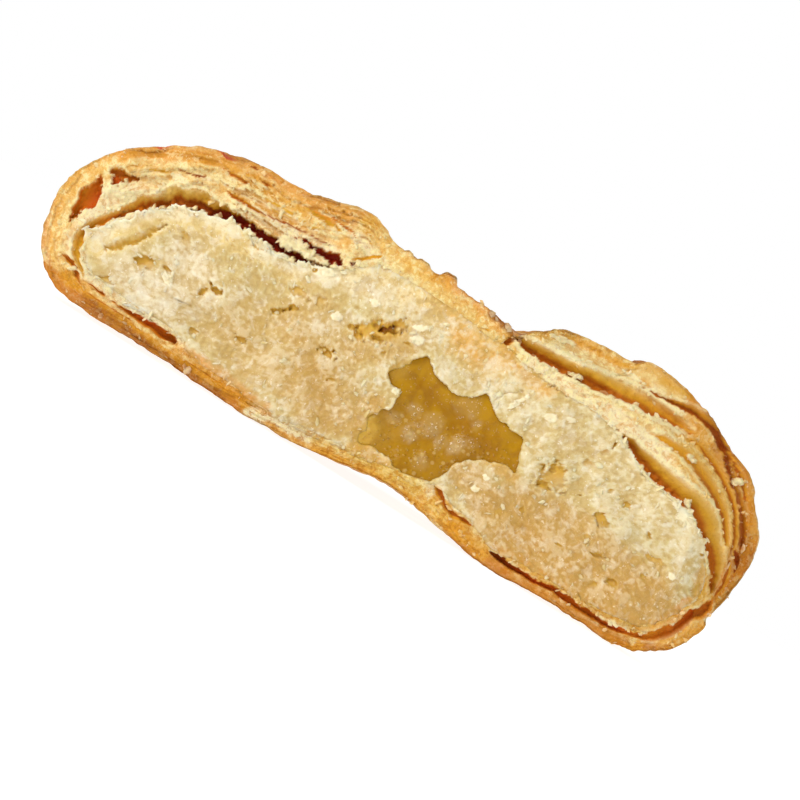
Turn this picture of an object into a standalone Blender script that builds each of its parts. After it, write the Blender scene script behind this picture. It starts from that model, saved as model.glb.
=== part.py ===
# Half of a round flaky pastry, broken across its middle and lying on its flat base.
#
# The torn face looks along -Y and the whole rim is at +Y. Every shape is worked out in millimetres in the
# plane of the break: x runs along it, z is up and depth runs back into the cake. The last step turns that
# into metres and puts the origin under the middle of the finished part.

import math

import bpy
import bmesh
from mathutils import Matrix, Vector, noise

MM = 0.001

# The whole cake, in millimetres
CAKE_RADIUS = 42.5
RIM_HEIGHT = 11.0          # height at which the side stands furthest out
TOP_HEIGHT = 25.6
TOP_POWER = 3.1            # roundness of a section: 2 is an ellipse, more is squarer
BASE_POWER = 6.3
GAP = 0.3                  # clear space between two touching pieces
FRONT = 9.0                # how far each uncut body runs past the break
DEPTH_CROWDING = 1.6       # more than 1 crowds the rings towards the back rim
EDGE_STEPS = 16            # between two points of an outline, before it is spaced evenly
SECTION_STEPS = 720

# The relief of the break: a grid over this window, with lumps of three sizes
RELIEF_WINDOW = {"left": -47.0, "right": 47.0, "low": -4.0, "high": 32.0}
RELIEF_CELL = 1.85
LUMPS = {"size": 5.5, "height": 0.55, "seed": 3.7}
SMALL_LUMPS = {"size": 2.4, "height": 0.28, "seed": 9.1}
CORE_LUMPS = {"size": 3.0, "height": 0.5, "seed": 21.0}

# Where the layers are torn further back: how far, and over which widths, shares of the way out and heights
RIGHT_TEAR = {"recess": 4.2, "across": (24.0, 37.0), "outwards": (0.84, 1.00), "up": (2.0, 12.0)}
TOP_TEAR = {"recess": 1.8, "across": (8.0, 14.0), "outwards": (0.90, 1.02), "up": (14.0, 22.0)}
RIM_TEAR = {"recess": 0.8, "outwards": (0.90, 1.02)}
CORE_RECESS = 3.2
CORE_FOOT = {"bulge": 0.9, "up": (5.0, 9.0)}

# Outlines on the face of the break: left end, over the top, right end, and back along the base
CRUST_EDGE = [
    (-42.4, 11.0), (-41.5, 14.0), (-39.0, 17.4), (-35.5, 20.1), (-31.5, 22.4), (-26.0, 24.0), (-20.0, 24.3),
    (-14.0, 25.7), (-11.3, 25.9), (-8.5, 24.7), (-2.0, 24.2), (4.0, 24.0), (8.0, 23.3), (9.5, 24.4),
    (12.0, 26.4), (17.0, 27.2), (20.2, 27.4), (22.2, 28.4), (26.0, 28.0), (30.0, 27.0), (34.0, 25.0),
    (37.6, 23.5), (40.0, 20.6), (41.9, 18.4), (42.5, 15.5), (42.3, 11.5), (41.7, 8.2), (41.9, 6.9),
    (40.7, 4.0), (37.8, 1.4), (34.0, 0.3), (26.0, 0.5), (18.0, 0.1), (10.0, 1.3), (4.0, 2.05),
    (-2.0, 1.1), (-8.0, 0.35), (-16.0, 0.3), (-25.0, 0.6), (-34.0, 0.6), (-38.2, 1.5), (-41.0, 4.2),
    (-42.2, 8.0),
]
FILLING_EDGE = [
    (-37.0, 7.2), (-36.2, 10.0), (-34.2, 12.8), (-32.4, 14.8), (-28.5, 16.4), (-22.0, 17.6), (-16.0, 17.9),
    (-12.0, 19.8), (-7.5, 22.0), (0.0, 22.2), (7.0, 21.9), (13.0, 20.9), (19.0, 20.6), (24.0, 19.4),
    (29.0, 17.6), (34.0, 16.5), (38.2, 13.8), (40.0, 10.5), (39.3, 7.2), (37.2, 3.9), (33.0, 2.6),
    (26.0, 2.3), (19.0, 2.0), (13.0, 2.9), (6.0, 3.2), (0.0, 2.6), (-6.0, 1.9), (-13.0, 1.7),
    (-20.0, 2.2), (-26.0, 3.4), (-33.0, 3.7), (-36.0, 5.0),
]
CORE_EDGE = [
    (-1.5, 8.0), (0.2, 11.8), (1.2, 15.2), (4.5, 14.7), (8.4, 15.4), (12.0, 14.4), (15.0, 13.2),
    (15.7, 10.9), (12.2, 10.4), (9.8, 8.4), (9.4, 5.8), (6.4, 4.7), (1.0, 4.8), (-1.0, 5.8),
]

# The three bodies: the plain rounded form behind the break, its outline, and how fine each one is
CRUST = {
    "edge": CRUST_EDGE, "middle": (0.0, RIM_HEIGHT), "half_width": CAKE_RADIUS, "depth": CAKE_RADIUS,
    "top": TOP_HEIGHT, "base": -0.4, "top_power": TOP_POWER, "base_power": BASE_POWER,
    "around": 96, "rings": 14, "fade": 12.0,
}
FILLING = {
    "edge": FILLING_EDGE, "middle": (0.6, 10.0), "half_width": 37.6, "depth": 37.4,
    "top": 20.6, "base": 2.4, "top_power": 2.9, "base_power": 4.5,
    "around": 76, "rings": 10, "fade": 11.0,
}
CORE = {
    "edge": CORE_EDGE, "middle": (6.6, 9.9), "half_width": 8.4, "depth": 12.0,
    "top": 15.0, "base": 4.9, "top_power": 2.5, "base_power": 2.5,
    "around": 32, "rings": 8, "fade": 6.0,
}

# Gaps between the layers: route on the face, full width and depth
LAYER_GAPS = {
    "left_pocket": ([(-39.7, 8.4), (-39.3, 12.0), (-38.4, 15.0), (-36.2, 16.4)], 1.1, 5.0),
    "left_crescent": (
        [(-37.4, 7.4), (-36.6, 10.0), (-34.6, 12.9), (-32.8, 15.0), (-28.8, 16.8), (-22.0, 18.1),
         (-16.0, 18.4), (-11.8, 20.1)], 1.6, 7.0),
    "left_base": ([(-38.0, 4.9), (-35.6, 3.6), (-29.0, 3.0), (-23.0, 2.9)], 0.9, 4.0),
    "left_crack": ([(-27.0, 20.0), (-19.5, 20.4), (-11.8, 21.2)], 0.45, 3.0),
    "left_top_crack": ([(-30.0, 21.6), (-24.0, 22.1), (-18.0, 22.8), (-13.0, 23.3)], 0.45, 3.0),
    "right_top": ([(8.6, 22.7), (14.0, 22.8), (22.0, 23.2), (30.0, 24.0)], 1.0, 5.5),
    "right_flake": ([(22.5, 25.8), (28.0, 26.1), (33.0, 25.0)], 0.6, 5.0),
    "right_crescent": (
        [(23.6, 20.2), (27.0, 18.9), (31.0, 17.9), (35.2, 16.8), (38.9, 14.2), (40.5, 11.2)], 1.4, 7.0),
    "right_sheet": ([(30.5, 21.0), (36.0, 18.9), (39.6, 15.6), (41.3, 12.0)], 0.55, 5.5),
    "right_outer_sheet": ([(34.0, 22.8), (38.2, 20.2), (40.8, 16.6)], 0.55, 6.0),
    "right_base": (
        [(13.5, 2.3), (20.0, 1.6), (29.0, 1.8), (36.0, 2.5), (39.0, 4.8), (40.3, 7.6)], 1.0, 5.0),
}
GAP_STEPS = 15

# Air holes in the filling: place on the face, width, height and lean in degrees
AIR_HOLES = [
    (-30.5, 8.5, 1.5, 0.9, 10.0), (-22.2, 9.8, 1.9, 0.8, 0.0), (-22.0, 5.0, 1.0, 0.8, 0.0),
    (-17.2, 6.8, 1.2, 0.7, -10.0), (-14.8, 12.2, 2.0, 0.8, 42.0), (-8.5, 10.5, 1.6, 0.8, 0.0),
    (-6.6, 14.6, 2.2, 1.2, 10.0), (-4.1, 16.4, 2.2, 1.2, 35.0), (19.6, 11.9, 2.3, 2.0, 0.0),
    (26.2, 11.2, 1.2, 0.9, 0.0), (27.6, 7.3, 1.4, 0.6, 15.0), (33.6, 10.3, 1.8, 0.9, 0.0),
    (30.5, 5.8, 1.3, 0.7, 0.0), (22.0, 15.5, 1.1, 0.8, 0.0),
]
AIR_HOLE_DEPTH = 1.3
AIR_HOLE_INSET = 0.1

# Finish of each body: colour, roughness
CRUST_FINISH = ((0.72, 0.40, 0.13), 0.55)
FILLING_FINISH = ((0.80, 0.68, 0.44), 0.75)
CORE_FINISH = ((0.50, 0.33, 0.10), 0.30)


def clear_scene():
    for item in list(bpy.data.objects):
        bpy.data.objects.remove(item, do_unlink=True)


def smooth_step(low, high, value):
    share = min(1.0, max(0.0, (value - low) / (high - low)))
    return share * share * (3.0 - 2.0 * share)


def curve_through(points, steps, closed=True):
    """Points on a smooth curve that passes through the given ones."""
    count = len(points)
    places = []
    for index in range(count if closed else count - 1):
        if closed:
            near = [Vector(points[(index + shift) % count]) for shift in (-1, 0, 1, 2)]
        else:
            near = [Vector(points[min(count - 1, max(0, index + shift))]) for shift in (-1, 0, 1, 2)]
        for step in range(steps):
            t = step / steps
            bend = 2.0 * near[0] - 5.0 * near[1] + 4.0 * near[2] - near[3]
            twist = 3.0 * near[1] - near[0] - 3.0 * near[2] + near[3]
            places.append(near[1] + 0.5 * t * (near[2] - near[0] + t * (bend + t * twist)))
    if not closed:
        places.append(Vector(points[-1]))
    return places


def spaced_evenly(places, count):
    """The same closed outline with its points at equal distances."""
    lengths = [0.0]
    for index, place in enumerate(places):
        lengths.append(lengths[-1] + (places[(index + 1) % len(places)] - place).length)
    result = []
    index = 0
    for step in range(count):
        goal = lengths[-1] * step / count
        while lengths[index + 1] < goal:
            index += 1
        share = (goal - lengths[index]) / (lengths[index + 1] - lengths[index])
        result.append(places[index].lerp(places[(index + 1) % len(places)], share))
    return result


def plain_section(body):
    """The rounded section without dents, from the left end over the top."""
    places = []
    for step in range(SECTION_STEPS):
        angle = math.pi - 2.0 * math.pi * step / SECTION_STEPS
        power = body["top_power"] if math.sin(angle) >= 0.0 else body["base_power"]
        across = math.copysign(abs(math.cos(angle)) ** (2.0 / power), math.cos(angle))
        up = math.copysign(abs(math.sin(angle)) ** (2.0 / power), math.sin(angle))
        places.append(section_place(body, across, up))
    return places


def section_place(body, across, up):
    middle_x, middle_z = body["middle"]
    height = body["top"] - middle_z if up >= 0.0 else middle_z - body["base"]
    return Vector((middle_x + across * body["half_width"], middle_z + up * height))


def plain_height(body, x, depth, is_top):
    """Height of the rounded form over or under a place in plan."""
    middle_x, middle_z = body["middle"]
    reach = min(1.0, math.hypot((x - middle_x) / body["half_width"], depth / body["depth"]))
    power = body["top_power"] if is_top else body["base_power"]
    up = (1.0 - reach ** power) ** (1.0 / power)
    return section_place(body, 0.0, up if is_top else -up).y


def cake_body(body, lowest=-FRONT):
    """A sphere turned with its poles front and back, each of its rings shaped to a section of the cake."""
    around, rings = body["around"], body["rings"]
    ring_count = rings + 2
    edge = spaced_evenly(curve_through(body["edge"], EDGE_STEPS), around)
    plain = spaced_evenly(plain_section(body), around)
    middle_x, middle_z = body["middle"]
    shape = bmesh.new()
    bmesh.ops.create_uvsphere(shape, u_segments=around, v_segments=ring_count, radius=1.0)
    for vert in shape.verts:
        ring = round(math.acos(max(-1.0, min(1.0, vert.co.z))) / math.pi * ring_count)
        spot = round(math.atan2(vert.co.y, vert.co.x) / (2.0 * math.pi) * around) % around
        if ring > rings:
            is_pole = ring == ring_count
            x, z = (middle_x, middle_z) if is_pole else edge[spot]
            vert.co = (x, -FRONT, z)
            continue
        turn = math.pi / 2.0 * (1.0 - (ring / rings) ** DEPTH_CROWDING)
        depth = body["depth"] * math.sin(turn)
        fade = math.exp(-(depth / body["fade"]) ** 2)
        x = middle_x + (plain[spot].x - middle_x) * math.cos(turn)
        z = plain_height(body, x, depth, plain[spot].y >= middle_z)
        dent = edge[spot] - plain[spot]
        vert.co = (x + dent.x * fade, depth, max(lowest, z + dent.y * fade))
    shape.normal_update()
    bmesh.ops.recalc_face_normals(shape, faces=shape.faces)
    return shape


def with_flat_base(shape):
    """Join the faces on the ground into one, for the cake to rest on."""
    ground = [face for face in shape.faces if all(vert.co.z == 0.0 for vert in face.verts)]
    bmesh.ops.dissolve_faces(shape, faces=ground, use_verts=True)
    return shape


def outwardness(x, z):
    """0 at the middle of the whole section and 1 on its plain outline."""
    up = z - RIM_HEIGHT
    power = TOP_POWER if up >= 0.0 else BASE_POWER
    height = TOP_HEIGHT - RIM_HEIGHT if up >= 0.0 else RIM_HEIGHT
    return ((abs(x) / CAKE_RADIUS) ** power + (abs(up) / height) ** power) ** (1.0 / power)


def lump_depth(x, z, lumps):
    place = Vector((x / lumps["size"], lumps["seed"], z / lumps["size"]))
    return lumps["height"] * noise.noise(place)


def tear_depth(x, z, tear):
    outwards = smooth_step(*tear["outwards"], outwardness(x, z))
    return tear["recess"] * smooth_step(*tear["across"], x) * outwards * smooth_step(*tear["up"], z)


def break_depth(x, z):
    """How far back the torn face lies at a place on it."""
    lumps = lump_depth(x, z, LUMPS) + lump_depth(x, z, SMALL_LUMPS)
    rim = RIM_TEAR["recess"] * smooth_step(*RIM_TEAR["outwards"], outwardness(x, z))
    return lumps + rim + max(tear_depth(x, z, RIGHT_TEAR), tear_depth(x, z, TOP_TEAR))


def core_depth(x, z):
    """The centre is torn further back and bulges a little at its foot."""
    foot = CORE_FOOT["bulge"] * (1.0 - smooth_step(*CORE_FOOT["up"], z))
    return CORE_RECESS + lump_depth(x, z, CORE_LUMPS) - foot


def break_block(depth_at):
    """Everything behind the torn face, as a relief grid drawn back past the cake."""
    left, low = RELIEF_WINDOW["left"], RELIEF_WINDOW["low"]
    width = RELIEF_WINDOW["right"] - left
    height = RELIEF_WINDOW["high"] - low
    columns = round(width / RELIEF_CELL)
    rows = round(height / RELIEF_CELL)
    shape = bmesh.new()
    bmesh.ops.create_grid(shape, x_segments=columns, y_segments=rows, size=1.0)
    for vert in shape.verts:
        x = left + width * (vert.co.x + 1.0) / 2.0
        z = low + height * (vert.co.y + 1.0) / 2.0
        vert.co = (x, depth_at(x, z), z)
    bmesh.ops.triangulate(shape, faces=shape.faces)
    pulled = bmesh.ops.extrude_face_region(shape, geom=shape.faces[:])
    behind = [item for item in pulled["geom"] if isinstance(item, bmesh.types.BMVert)]
    for vert in behind:
        vert.co.y = CAKE_RADIUS + FRONT
    shape.normal_update()
    bmesh.ops.recalc_face_normals(shape, faces=shape.faces)
    return shape


def grown(shape, distance):
    """The same closed body, a little larger on every side."""
    shape.normal_update()
    for vert, normal in [(vert, vert.normal.copy()) for vert in shape.verts]:
        vert.co += normal * distance
    return shape


def as_object(name, shape, collection):
    for vert in shape.verts:
        vert.co *= MM
    mesh = bpy.data.meshes.new(name)
    shape.to_mesh(mesh)
    shape.free()
    item = bpy.data.objects.new(name, mesh)
    collection.objects.link(item)
    return item


def as_cutter(name, shape, collection):
    item = as_object(name, shape, collection)
    item.hide_render = True
    item.display_type = "WIRE"
    return item


def gap_outline(route, width):
    """A ribbon along the route that narrows to a point at both ends."""
    places = curve_through(route, max(2, GAP_STEPS // (len(route) - 1)), closed=False)
    upper, lower = [], []
    for index, place in enumerate(places):
        ahead = places[min(index + 1, len(places) - 1)] - places[max(index - 1, 0)]
        side = Vector((-ahead.y, ahead.x)).normalized()
        half = 0.5 * width * math.sqrt(math.sin(math.pi * index / (len(places) - 1)))
        upper.append(place + side * half)
        lower.append(place - side * half)
    return upper + lower[-2:0:-1]


def gap_cutter(name, route, width, depth, collection):
    """A flat outline in the plane of the break, as thick as the gap is deep."""
    flat = bpy.data.curves.new(name, "CURVE")
    flat.dimensions = "2D"
    flat.fill_mode = "BOTH"
    flat.extrude = 0.5 * (FRONT + depth) * MM
    outline = gap_outline(route, width)
    line = flat.splines.new("POLY")
    line.points.add(len(outline) - 1)
    for point, place in zip(line.points, outline):
        point.co = (place.x * MM, place.y * MM, 0.0, 1.0)
    line.use_cyclic_u = True
    drawn = bpy.data.objects.new(f"{name}_outline", flat)
    collection.objects.link(drawn)
    upright = Matrix.Rotation(math.pi / 2.0, 4, "X")
    drawn.matrix_world = Matrix.Translation((0.0, 0.5 * (depth - FRONT) * MM, 0.0)) @ upright
    bpy.context.view_layer.update()
    solid = bpy.data.meshes.new_from_object(drawn.evaluated_get(bpy.context.evaluated_depsgraph_get()))
    item = bpy.data.objects.new(name, solid)
    item.matrix_world = drawn.matrix_world
    bpy.data.objects.remove(drawn, do_unlink=True)
    shape = bmesh.new()
    shape.from_mesh(solid)
    bmesh.ops.remove_doubles(shape, verts=shape.verts, dist=0.01 * MM)
    bmesh.ops.recalc_face_normals(shape, faces=shape.faces)
    shape.to_mesh(solid)
    shape.free()
    item.hide_render = True
    item.display_type = "WIRE"
    collection.objects.link(item)


def air_hole_cutter(name, x, z, width, height, lean, collection):
    shape = bmesh.new()
    bmesh.ops.create_uvsphere(shape, u_segments=10, v_segments=6, radius=0.5)
    bmesh.ops.scale(shape, verts=shape.verts, vec=(width, 2.0 * AIR_HOLE_DEPTH, height))
    bmesh.ops.rotate(shape, verts=shape.verts, matrix=Matrix.Rotation(-math.radians(lean), 3, "Y"))
    bmesh.ops.translate(shape, verts=shape.verts, vec=(x, break_depth(x, z) - AIR_HOLE_INSET, z))
    as_cutter(name, shape, collection)


def cut(item, operation, cutter=None, cutters=None):
    step = item.modifiers.new(operation.title(), "BOOLEAN")
    step.solver = "EXACT"
    step.operation = operation
    if cutters is None:
        step.object = cutter
    else:
        step.operand_type = "COLLECTION"
        step.collection = cutters


def finish(item, name, look):
    colour, roughness = look
    material = bpy.data.materials.new(name)
    material.use_nodes = True
    shader = material.node_tree.nodes["Principled BSDF"]
    shader.inputs["Base Color"].default_value = (*colour, 1.0)
    shader.inputs["Roughness"].default_value = roughness
    shader.inputs["Metallic"].default_value = 0.0
    item.data.materials.append(material)


def new_collection(name):
    collection = bpy.data.collections.new(name)
    bpy.context.scene.collection.children.link(collection)
    return collection


def stand_over_origin(parts):
    """Hang everything on one empty, placed so that the origin is under the middle of the parts' box."""
    graph = bpy.context.evaluated_depsgraph_get()
    corners = [vert.co.copy() for item in parts for vert in item.evaluated_get(graph).data.vertices]
    low = Vector([min(corner[axis] for corner in corners) for axis in range(3)])
    high = Vector([max(corner[axis] for corner in corners) for axis in range(3)])
    anchor = bpy.data.objects.new("pastry_place", None)
    anchor.location = (-0.5 * (low.x + high.x), -0.5 * (low.y + high.y), -low.z)
    for item in list(bpy.data.objects):
        if item is not anchor:
            item.parent = anchor
    bpy.context.scene.collection.objects.link(anchor)


def build():
    clear_scene()
    parts = new_collection("flaky_pastry_half")
    cutters = new_collection("cutters")
    gaps = new_collection("gap_cutters")
    holes = new_collection("hole_cutters")

    face = as_cutter("break_block", break_block(break_depth), cutters)
    core_face = as_cutter("core_break_block", break_block(core_depth), cutters)
    cavity = as_cutter("filling_space", grown(cake_body(FILLING), GAP), cutters)
    hollow = as_cutter("core_space", grown(cake_body(CORE), GAP), cutters)
    for name, (route, width, depth) in LAYER_GAPS.items():
        gap_cutter(name, route, width, depth, gaps)
    for index, (x, z, width, height, lean) in enumerate(AIR_HOLES):
        air_hole_cutter(f"air_hole_{index + 1}", x, z, width, height, lean, holes)

    crust = as_object("crust", with_flat_base(cake_body(CRUST, lowest=0.0)), parts)
    cut(crust, "INTERSECT", face)
    cut(crust, "DIFFERENCE", cavity)
    cut(crust, "DIFFERENCE", cutters=gaps)
    finish(crust, "baked_crust", CRUST_FINISH)

    filling = as_object("filling", cake_body(FILLING), parts)
    cut(filling, "INTERSECT", face)
    cut(filling, "DIFFERENCE", hollow)
    cut(filling, "DIFFERENCE", cutters=holes)
    finish(filling, "pale_filling", FILLING_FINISH)

    core = as_object("core", cake_body(CORE), parts)
    cut(core, "INTERSECT", core_face)
    finish(core, "amber_core", CORE_FINISH)
    stand_over_origin([crust, filling, core])


build()
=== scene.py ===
import itertools
import math

import bmesh
import bpy
import numpy as np
from mathutils import Matrix, Vector


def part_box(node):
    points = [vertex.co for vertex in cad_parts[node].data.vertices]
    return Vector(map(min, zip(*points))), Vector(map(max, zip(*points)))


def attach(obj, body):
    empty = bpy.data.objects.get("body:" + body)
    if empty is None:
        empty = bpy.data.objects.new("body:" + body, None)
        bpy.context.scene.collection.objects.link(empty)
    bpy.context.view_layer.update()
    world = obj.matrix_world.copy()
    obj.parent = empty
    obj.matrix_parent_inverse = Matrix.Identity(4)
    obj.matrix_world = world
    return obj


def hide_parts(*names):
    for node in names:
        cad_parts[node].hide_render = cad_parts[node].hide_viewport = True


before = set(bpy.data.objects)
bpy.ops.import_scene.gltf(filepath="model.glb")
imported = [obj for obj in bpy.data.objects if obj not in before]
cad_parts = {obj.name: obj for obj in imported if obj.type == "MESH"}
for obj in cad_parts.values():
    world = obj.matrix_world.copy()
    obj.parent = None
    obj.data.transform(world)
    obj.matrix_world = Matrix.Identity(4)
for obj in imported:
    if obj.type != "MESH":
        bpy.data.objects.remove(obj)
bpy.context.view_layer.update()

# Places on the torn face are in millimetres: x along the break, z up, depth back into the cake.
# Outlines and gaps run clockwise as seen from the front, so their left side is the outer one.
millimetre = 0.001
cake = {
    "radius": 42.5, "rim": 11.0, "top": 25.6, "base": -0.4, "topPower": 3.1, "basePower": 6.3,
    "breakMiddle": 0.125,  # the break frame's x = 0, in the row's frame
}
photo = {"acrossFace": 86.62, "middle": (0.92, 10.50), "roll": 32.0, "lens": 120.0, "sensor": 36.0}
eyeDistance = photo["acrossFace"] * photo["lens"] / photo["sensor"]
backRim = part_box("crust")[1][1] / millimetre
frameShift = np.array([cake["breakMiddle"], backRim - cake["radius"], 0.0])


def smooth(low, high, value):
    share = np.clip((value - low) / (high - low), 0.0, 1.0)
    return share * share * (3.0 - 2.0 * share)


def cornerValue(cell, seed):
    mixed = (cell[:, 0] * 73856093) ^ (cell[:, 1] * 19349663) ^ (cell[:, 2] * 83492791) ^ (seed * 2654435761)
    mixed = ((mixed ^ (mixed >> 13)) * 1274126177) & 0x7FFFFFFF
    mixed = mixed ^ (mixed >> 16)
    return (mixed & 0xFFFF) / 32767.5 - 1.0


def noiseAt(places, size, seed, layers=1, gain=0.5):
    # value noise from -1 to 1, summed over layers of halving size
    total = np.zeros(len(places))
    strength = 1.0
    for layer in range(layers):
        spot = places / size
        cell = np.floor(spot).astype(np.int64)
        part = spot - cell
        part = part ** 3 * (part * (part * 6.0 - 15.0) + 10.0)
        for corner in itertools.product((0, 1), repeat=3):
            weight = np.prod(np.where(corner, part, 1.0 - part), axis=1)
            total += strength * weight * cornerValue(cell + corner, seed + layer * 17)
        size *= 0.5
        strength *= gain
    return total


def cellsAt(places, size, seed):
    # distance to the nearest scattered point and to the next one, in cells, and the nearest one's own value
    spot = places / size
    cell = np.floor(spot).astype(np.int64)
    nearest = np.full(len(places), 9.0)
    second = np.full(len(places), 9.0)
    own = np.zeros(len(places))
    for step in itertools.product((-1, 0, 1), repeat=3):
        other = cell + step
        jitter = np.column_stack([cornerValue(other, seed + axis * 31) for axis in range(3)])
        away = np.linalg.norm(other + 0.5 + 0.45 * jitter - spot, axis=1)
        closer = away < nearest
        second = np.where(closer, nearest, np.minimum(second, away))
        own = np.where(closer, cornerValue(other, seed + 97), own)
        nearest = np.minimum(nearest, away)
    return nearest, second, own


def flat3(xz, depth=0.0):
    return np.column_stack([xz[:, 0], np.full(len(xz), depth) if np.isscalar(depth) else depth, xz[:, 1]])


def splineThrough(knots, steps, closed=False):
    knots = np.asarray(knots, float)
    if closed:
        ends = np.vstack([knots[-1:], knots, knots[:2]])
    else:
        ends = np.vstack([knots[:1], knots, knots[-1:]])
    share = np.linspace(0.0, 1.0, steps, endpoint=False)[:, None]
    pieces = []
    for one, two, three, four in zip(ends, ends[1:], ends[2:], ends[3:]):
        bend = 2.0 * one - 5.0 * two + 4.0 * three - four
        twist = 3.0 * two - one - 3.0 * three + four
        pieces.append(two + 0.5 * share * (three - one + share * (bend + share * twist)))
    if not closed:
        pieces.append(knots[-1:])
    return np.vstack(pieces)


def evenPlaces(line, count):
    # count places at equal distances along the line, without its last point
    lengths = np.concatenate([[0.0], np.cumsum(np.linalg.norm(np.diff(line, axis=0), axis=1))])
    goals = lengths[-1] * np.arange(count) / count
    return np.column_stack([np.interp(goals, lengths, line[:, axis]) for axis in range(line.shape[1])])


def halfLoops(knots, tip, count, steps=24):
    # a closed outline with as many places over the top as along the base, from the left tip
    line = splineThrough(knots, steps, closed=True)
    over = line[:tip * steps + 1]
    under = np.vstack([line[tip * steps:], line[:1]])
    return np.vstack([evenPlaces(over, count // 2), evenPlaces(under, count // 2)])


def calmLoop(loop, reach):
    # a closed loop with its corners smoothed away over a number of places
    total = sum(np.roll(loop, shift, axis=0) for shift in range(-reach, reach + 1)) / (2 * reach + 1)
    return sum(np.roll(total, shift, axis=0) for shift in range(-reach, reach + 1)) / (2 * reach + 1)


def sideOf(xz, route, reach):
    # for places within reach of a route: which they are, signed distance (left is positive), the route's
    # other values there, and how far they lie past its ends
    low = route[:, :2].min(axis=0) - reach
    high = route[:, :2].max(axis=0) + reach
    near = np.nonzero(((xz >= low) & (xz <= high)).all(axis=1))[0]
    places = xz[near]
    best = np.full(len(near), 1e9)
    side = np.zeros(len(near))
    past = np.zeros(len(near))
    values = np.zeros((len(near), route.shape[1] - 2))
    for index in range(len(route) - 1):
        start = route[index]
        step = route[index + 1] - start
        length = max(1e-9, math.hypot(step[0], step[1]))
        away = places - start[:2]
        along = (away @ step[:2]) / length ** 2
        share = np.clip(along, 0.0, 1.0)
        gap = away - share[:, None] * step[:2]
        distance = np.hypot(gap[:, 0], gap[:, 1])
        closer = distance < best
        best = np.where(closer, distance, best)
        cross = step[0] * away[:, 1] - step[1] * away[:, 0]
        side = np.where(closer, np.where(cross > 0.0, distance, -distance), side)
        over = np.zeros(len(near))
        if index == 0:
            over = np.maximum(over, -along * length)
        if index == len(route) - 2:
            over = np.maximum(over, (along - 1.0) * length)
        past = np.where(closer, over, past)
        values = np.where(closer[:, None], start[2:] + share[:, None] * step[2:], values)
    return near, side, values, past


crustForm = {
    "middle": (0.0, cake["rim"]), "halfWidth": cake["radius"], "depth": cake["radius"], "fade": 12.0,
    "top": cake["top"], "base": cake["base"], "topPower": cake["topPower"], "basePower": cake["basePower"],
    "tip": 25,
    "edge": [
        (-42.4, 11.0), (-41.5, 14.0), (-39.0, 17.4), (-35.5, 20.1), (-31.5, 22.4), (-26.0, 24.0),
        (-20.0, 24.3), (-14.0, 25.7), (-11.3, 25.9), (-8.5, 24.7), (-2.0, 24.2), (4.0, 24.0), (8.0, 23.3),
        (9.5, 24.4), (12.0, 26.4), (17.0, 27.2), (20.2, 27.4), (22.2, 28.4), (26.0, 28.0), (30.0, 27.0),
        (34.0, 25.0), (37.6, 23.5), (40.0, 20.6), (41.9, 18.4), (42.5, 15.5), (42.3, 11.5), (41.7, 8.2),
        (41.9, 6.9), (40.7, 4.0), (37.8, 1.4), (34.0, 0.3), (26.0, 0.5), (18.0, 0.1), (10.0, 1.3),
        (4.0, 2.05), (-2.0, 1.1), (-8.0, 0.35), (-16.0, 0.3), (-25.0, 0.6), (-34.0, 0.6), (-38.2, 1.5),
        (-41.0, 4.2), (-42.2, 8.0)],
}
fillingForm = {
    "middle": (0.6, 10.0), "halfWidth": 37.6, "depth": 37.4, "fade": 11.0,
    "top": 20.6, "base": 2.4, "topPower": 2.9, "basePower": 4.5, "tip": 31,
    "edge": [
        (-37.0, 6.9), (-37.0, 8.0), (-36.3, 9.4), (-35.8, 10.5), (-35.0, 11.2), (-34.1, 11.9), (-33.4, 12.8),
        (-32.8, 13.7), (-31.6, 14.7), (-30.4, 15.7), (-29.0, 16.1), (-27.5, 16.5), (-26.0, 16.9),
        (-24.0, 17.2), (-22.5, 17.1), (-20.0, 16.95), (-17.0, 16.95), (-15.4, 17.4), (-14.0, 18.1),
        (-12.8, 18.8), (-11.7, 19.4), (-10.4, 20.6), (-7.5, 22.0), (0.0, 22.2), (7.0, 21.6), (13.0, 20.8),
        (20.0, 20.7), (24.0, 19.6), (28.0, 17.8), (33.5, 16.9), (37.4, 14.6), (40.1, 10.6), (39.3, 7.6),
        (37.4, 4.6), (35.0, 2.9), (31.0, 2.5), (26.0, 2.4), (21.0, 2.2), (17.6, 1.9), (14.4, 3.3),
        (11.6, 3.6), (9.8, 4.6), (6.0, 3.6), (2.0, 3.2), (-2.0, 2.6), (-7.0, 1.9), (-13.0, 1.7),
        (-20.0, 2.1), (-23.0, 3.4), (-28.0, 3.5), (-34.0, 3.7), (-36.2, 5.0)],
}
coreForm = {
    "middle": (6.6, 9.9), "halfWidth": 8.4, "depth": 12.0, "fade": 6.0,
    "top": 15.0, "base": 4.9, "topPower": 2.5, "basePower": 2.5, "tip": 10,
    "edge": [
        (-1.9, 8.0), (-1.7, 9.6), (-1.6, 11.2), (-1.6, 12.9), (-0.8, 15.2), (1.2, 16.3), (3.0, 15.6),
        (6.0, 15.3), (8.4, 16.3), (11.5, 15.1), (15.2, 13.8), (16.0, 11.0), (14.0, 10.0), (11.0, 8.7),
        (9.9, 7.2), (9.5, 5.6), (8.2, 4.0), (5.0, 3.7), (1.5, 3.9), (-1.4, 3.6), (-2.2, 5.6)],
}
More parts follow.
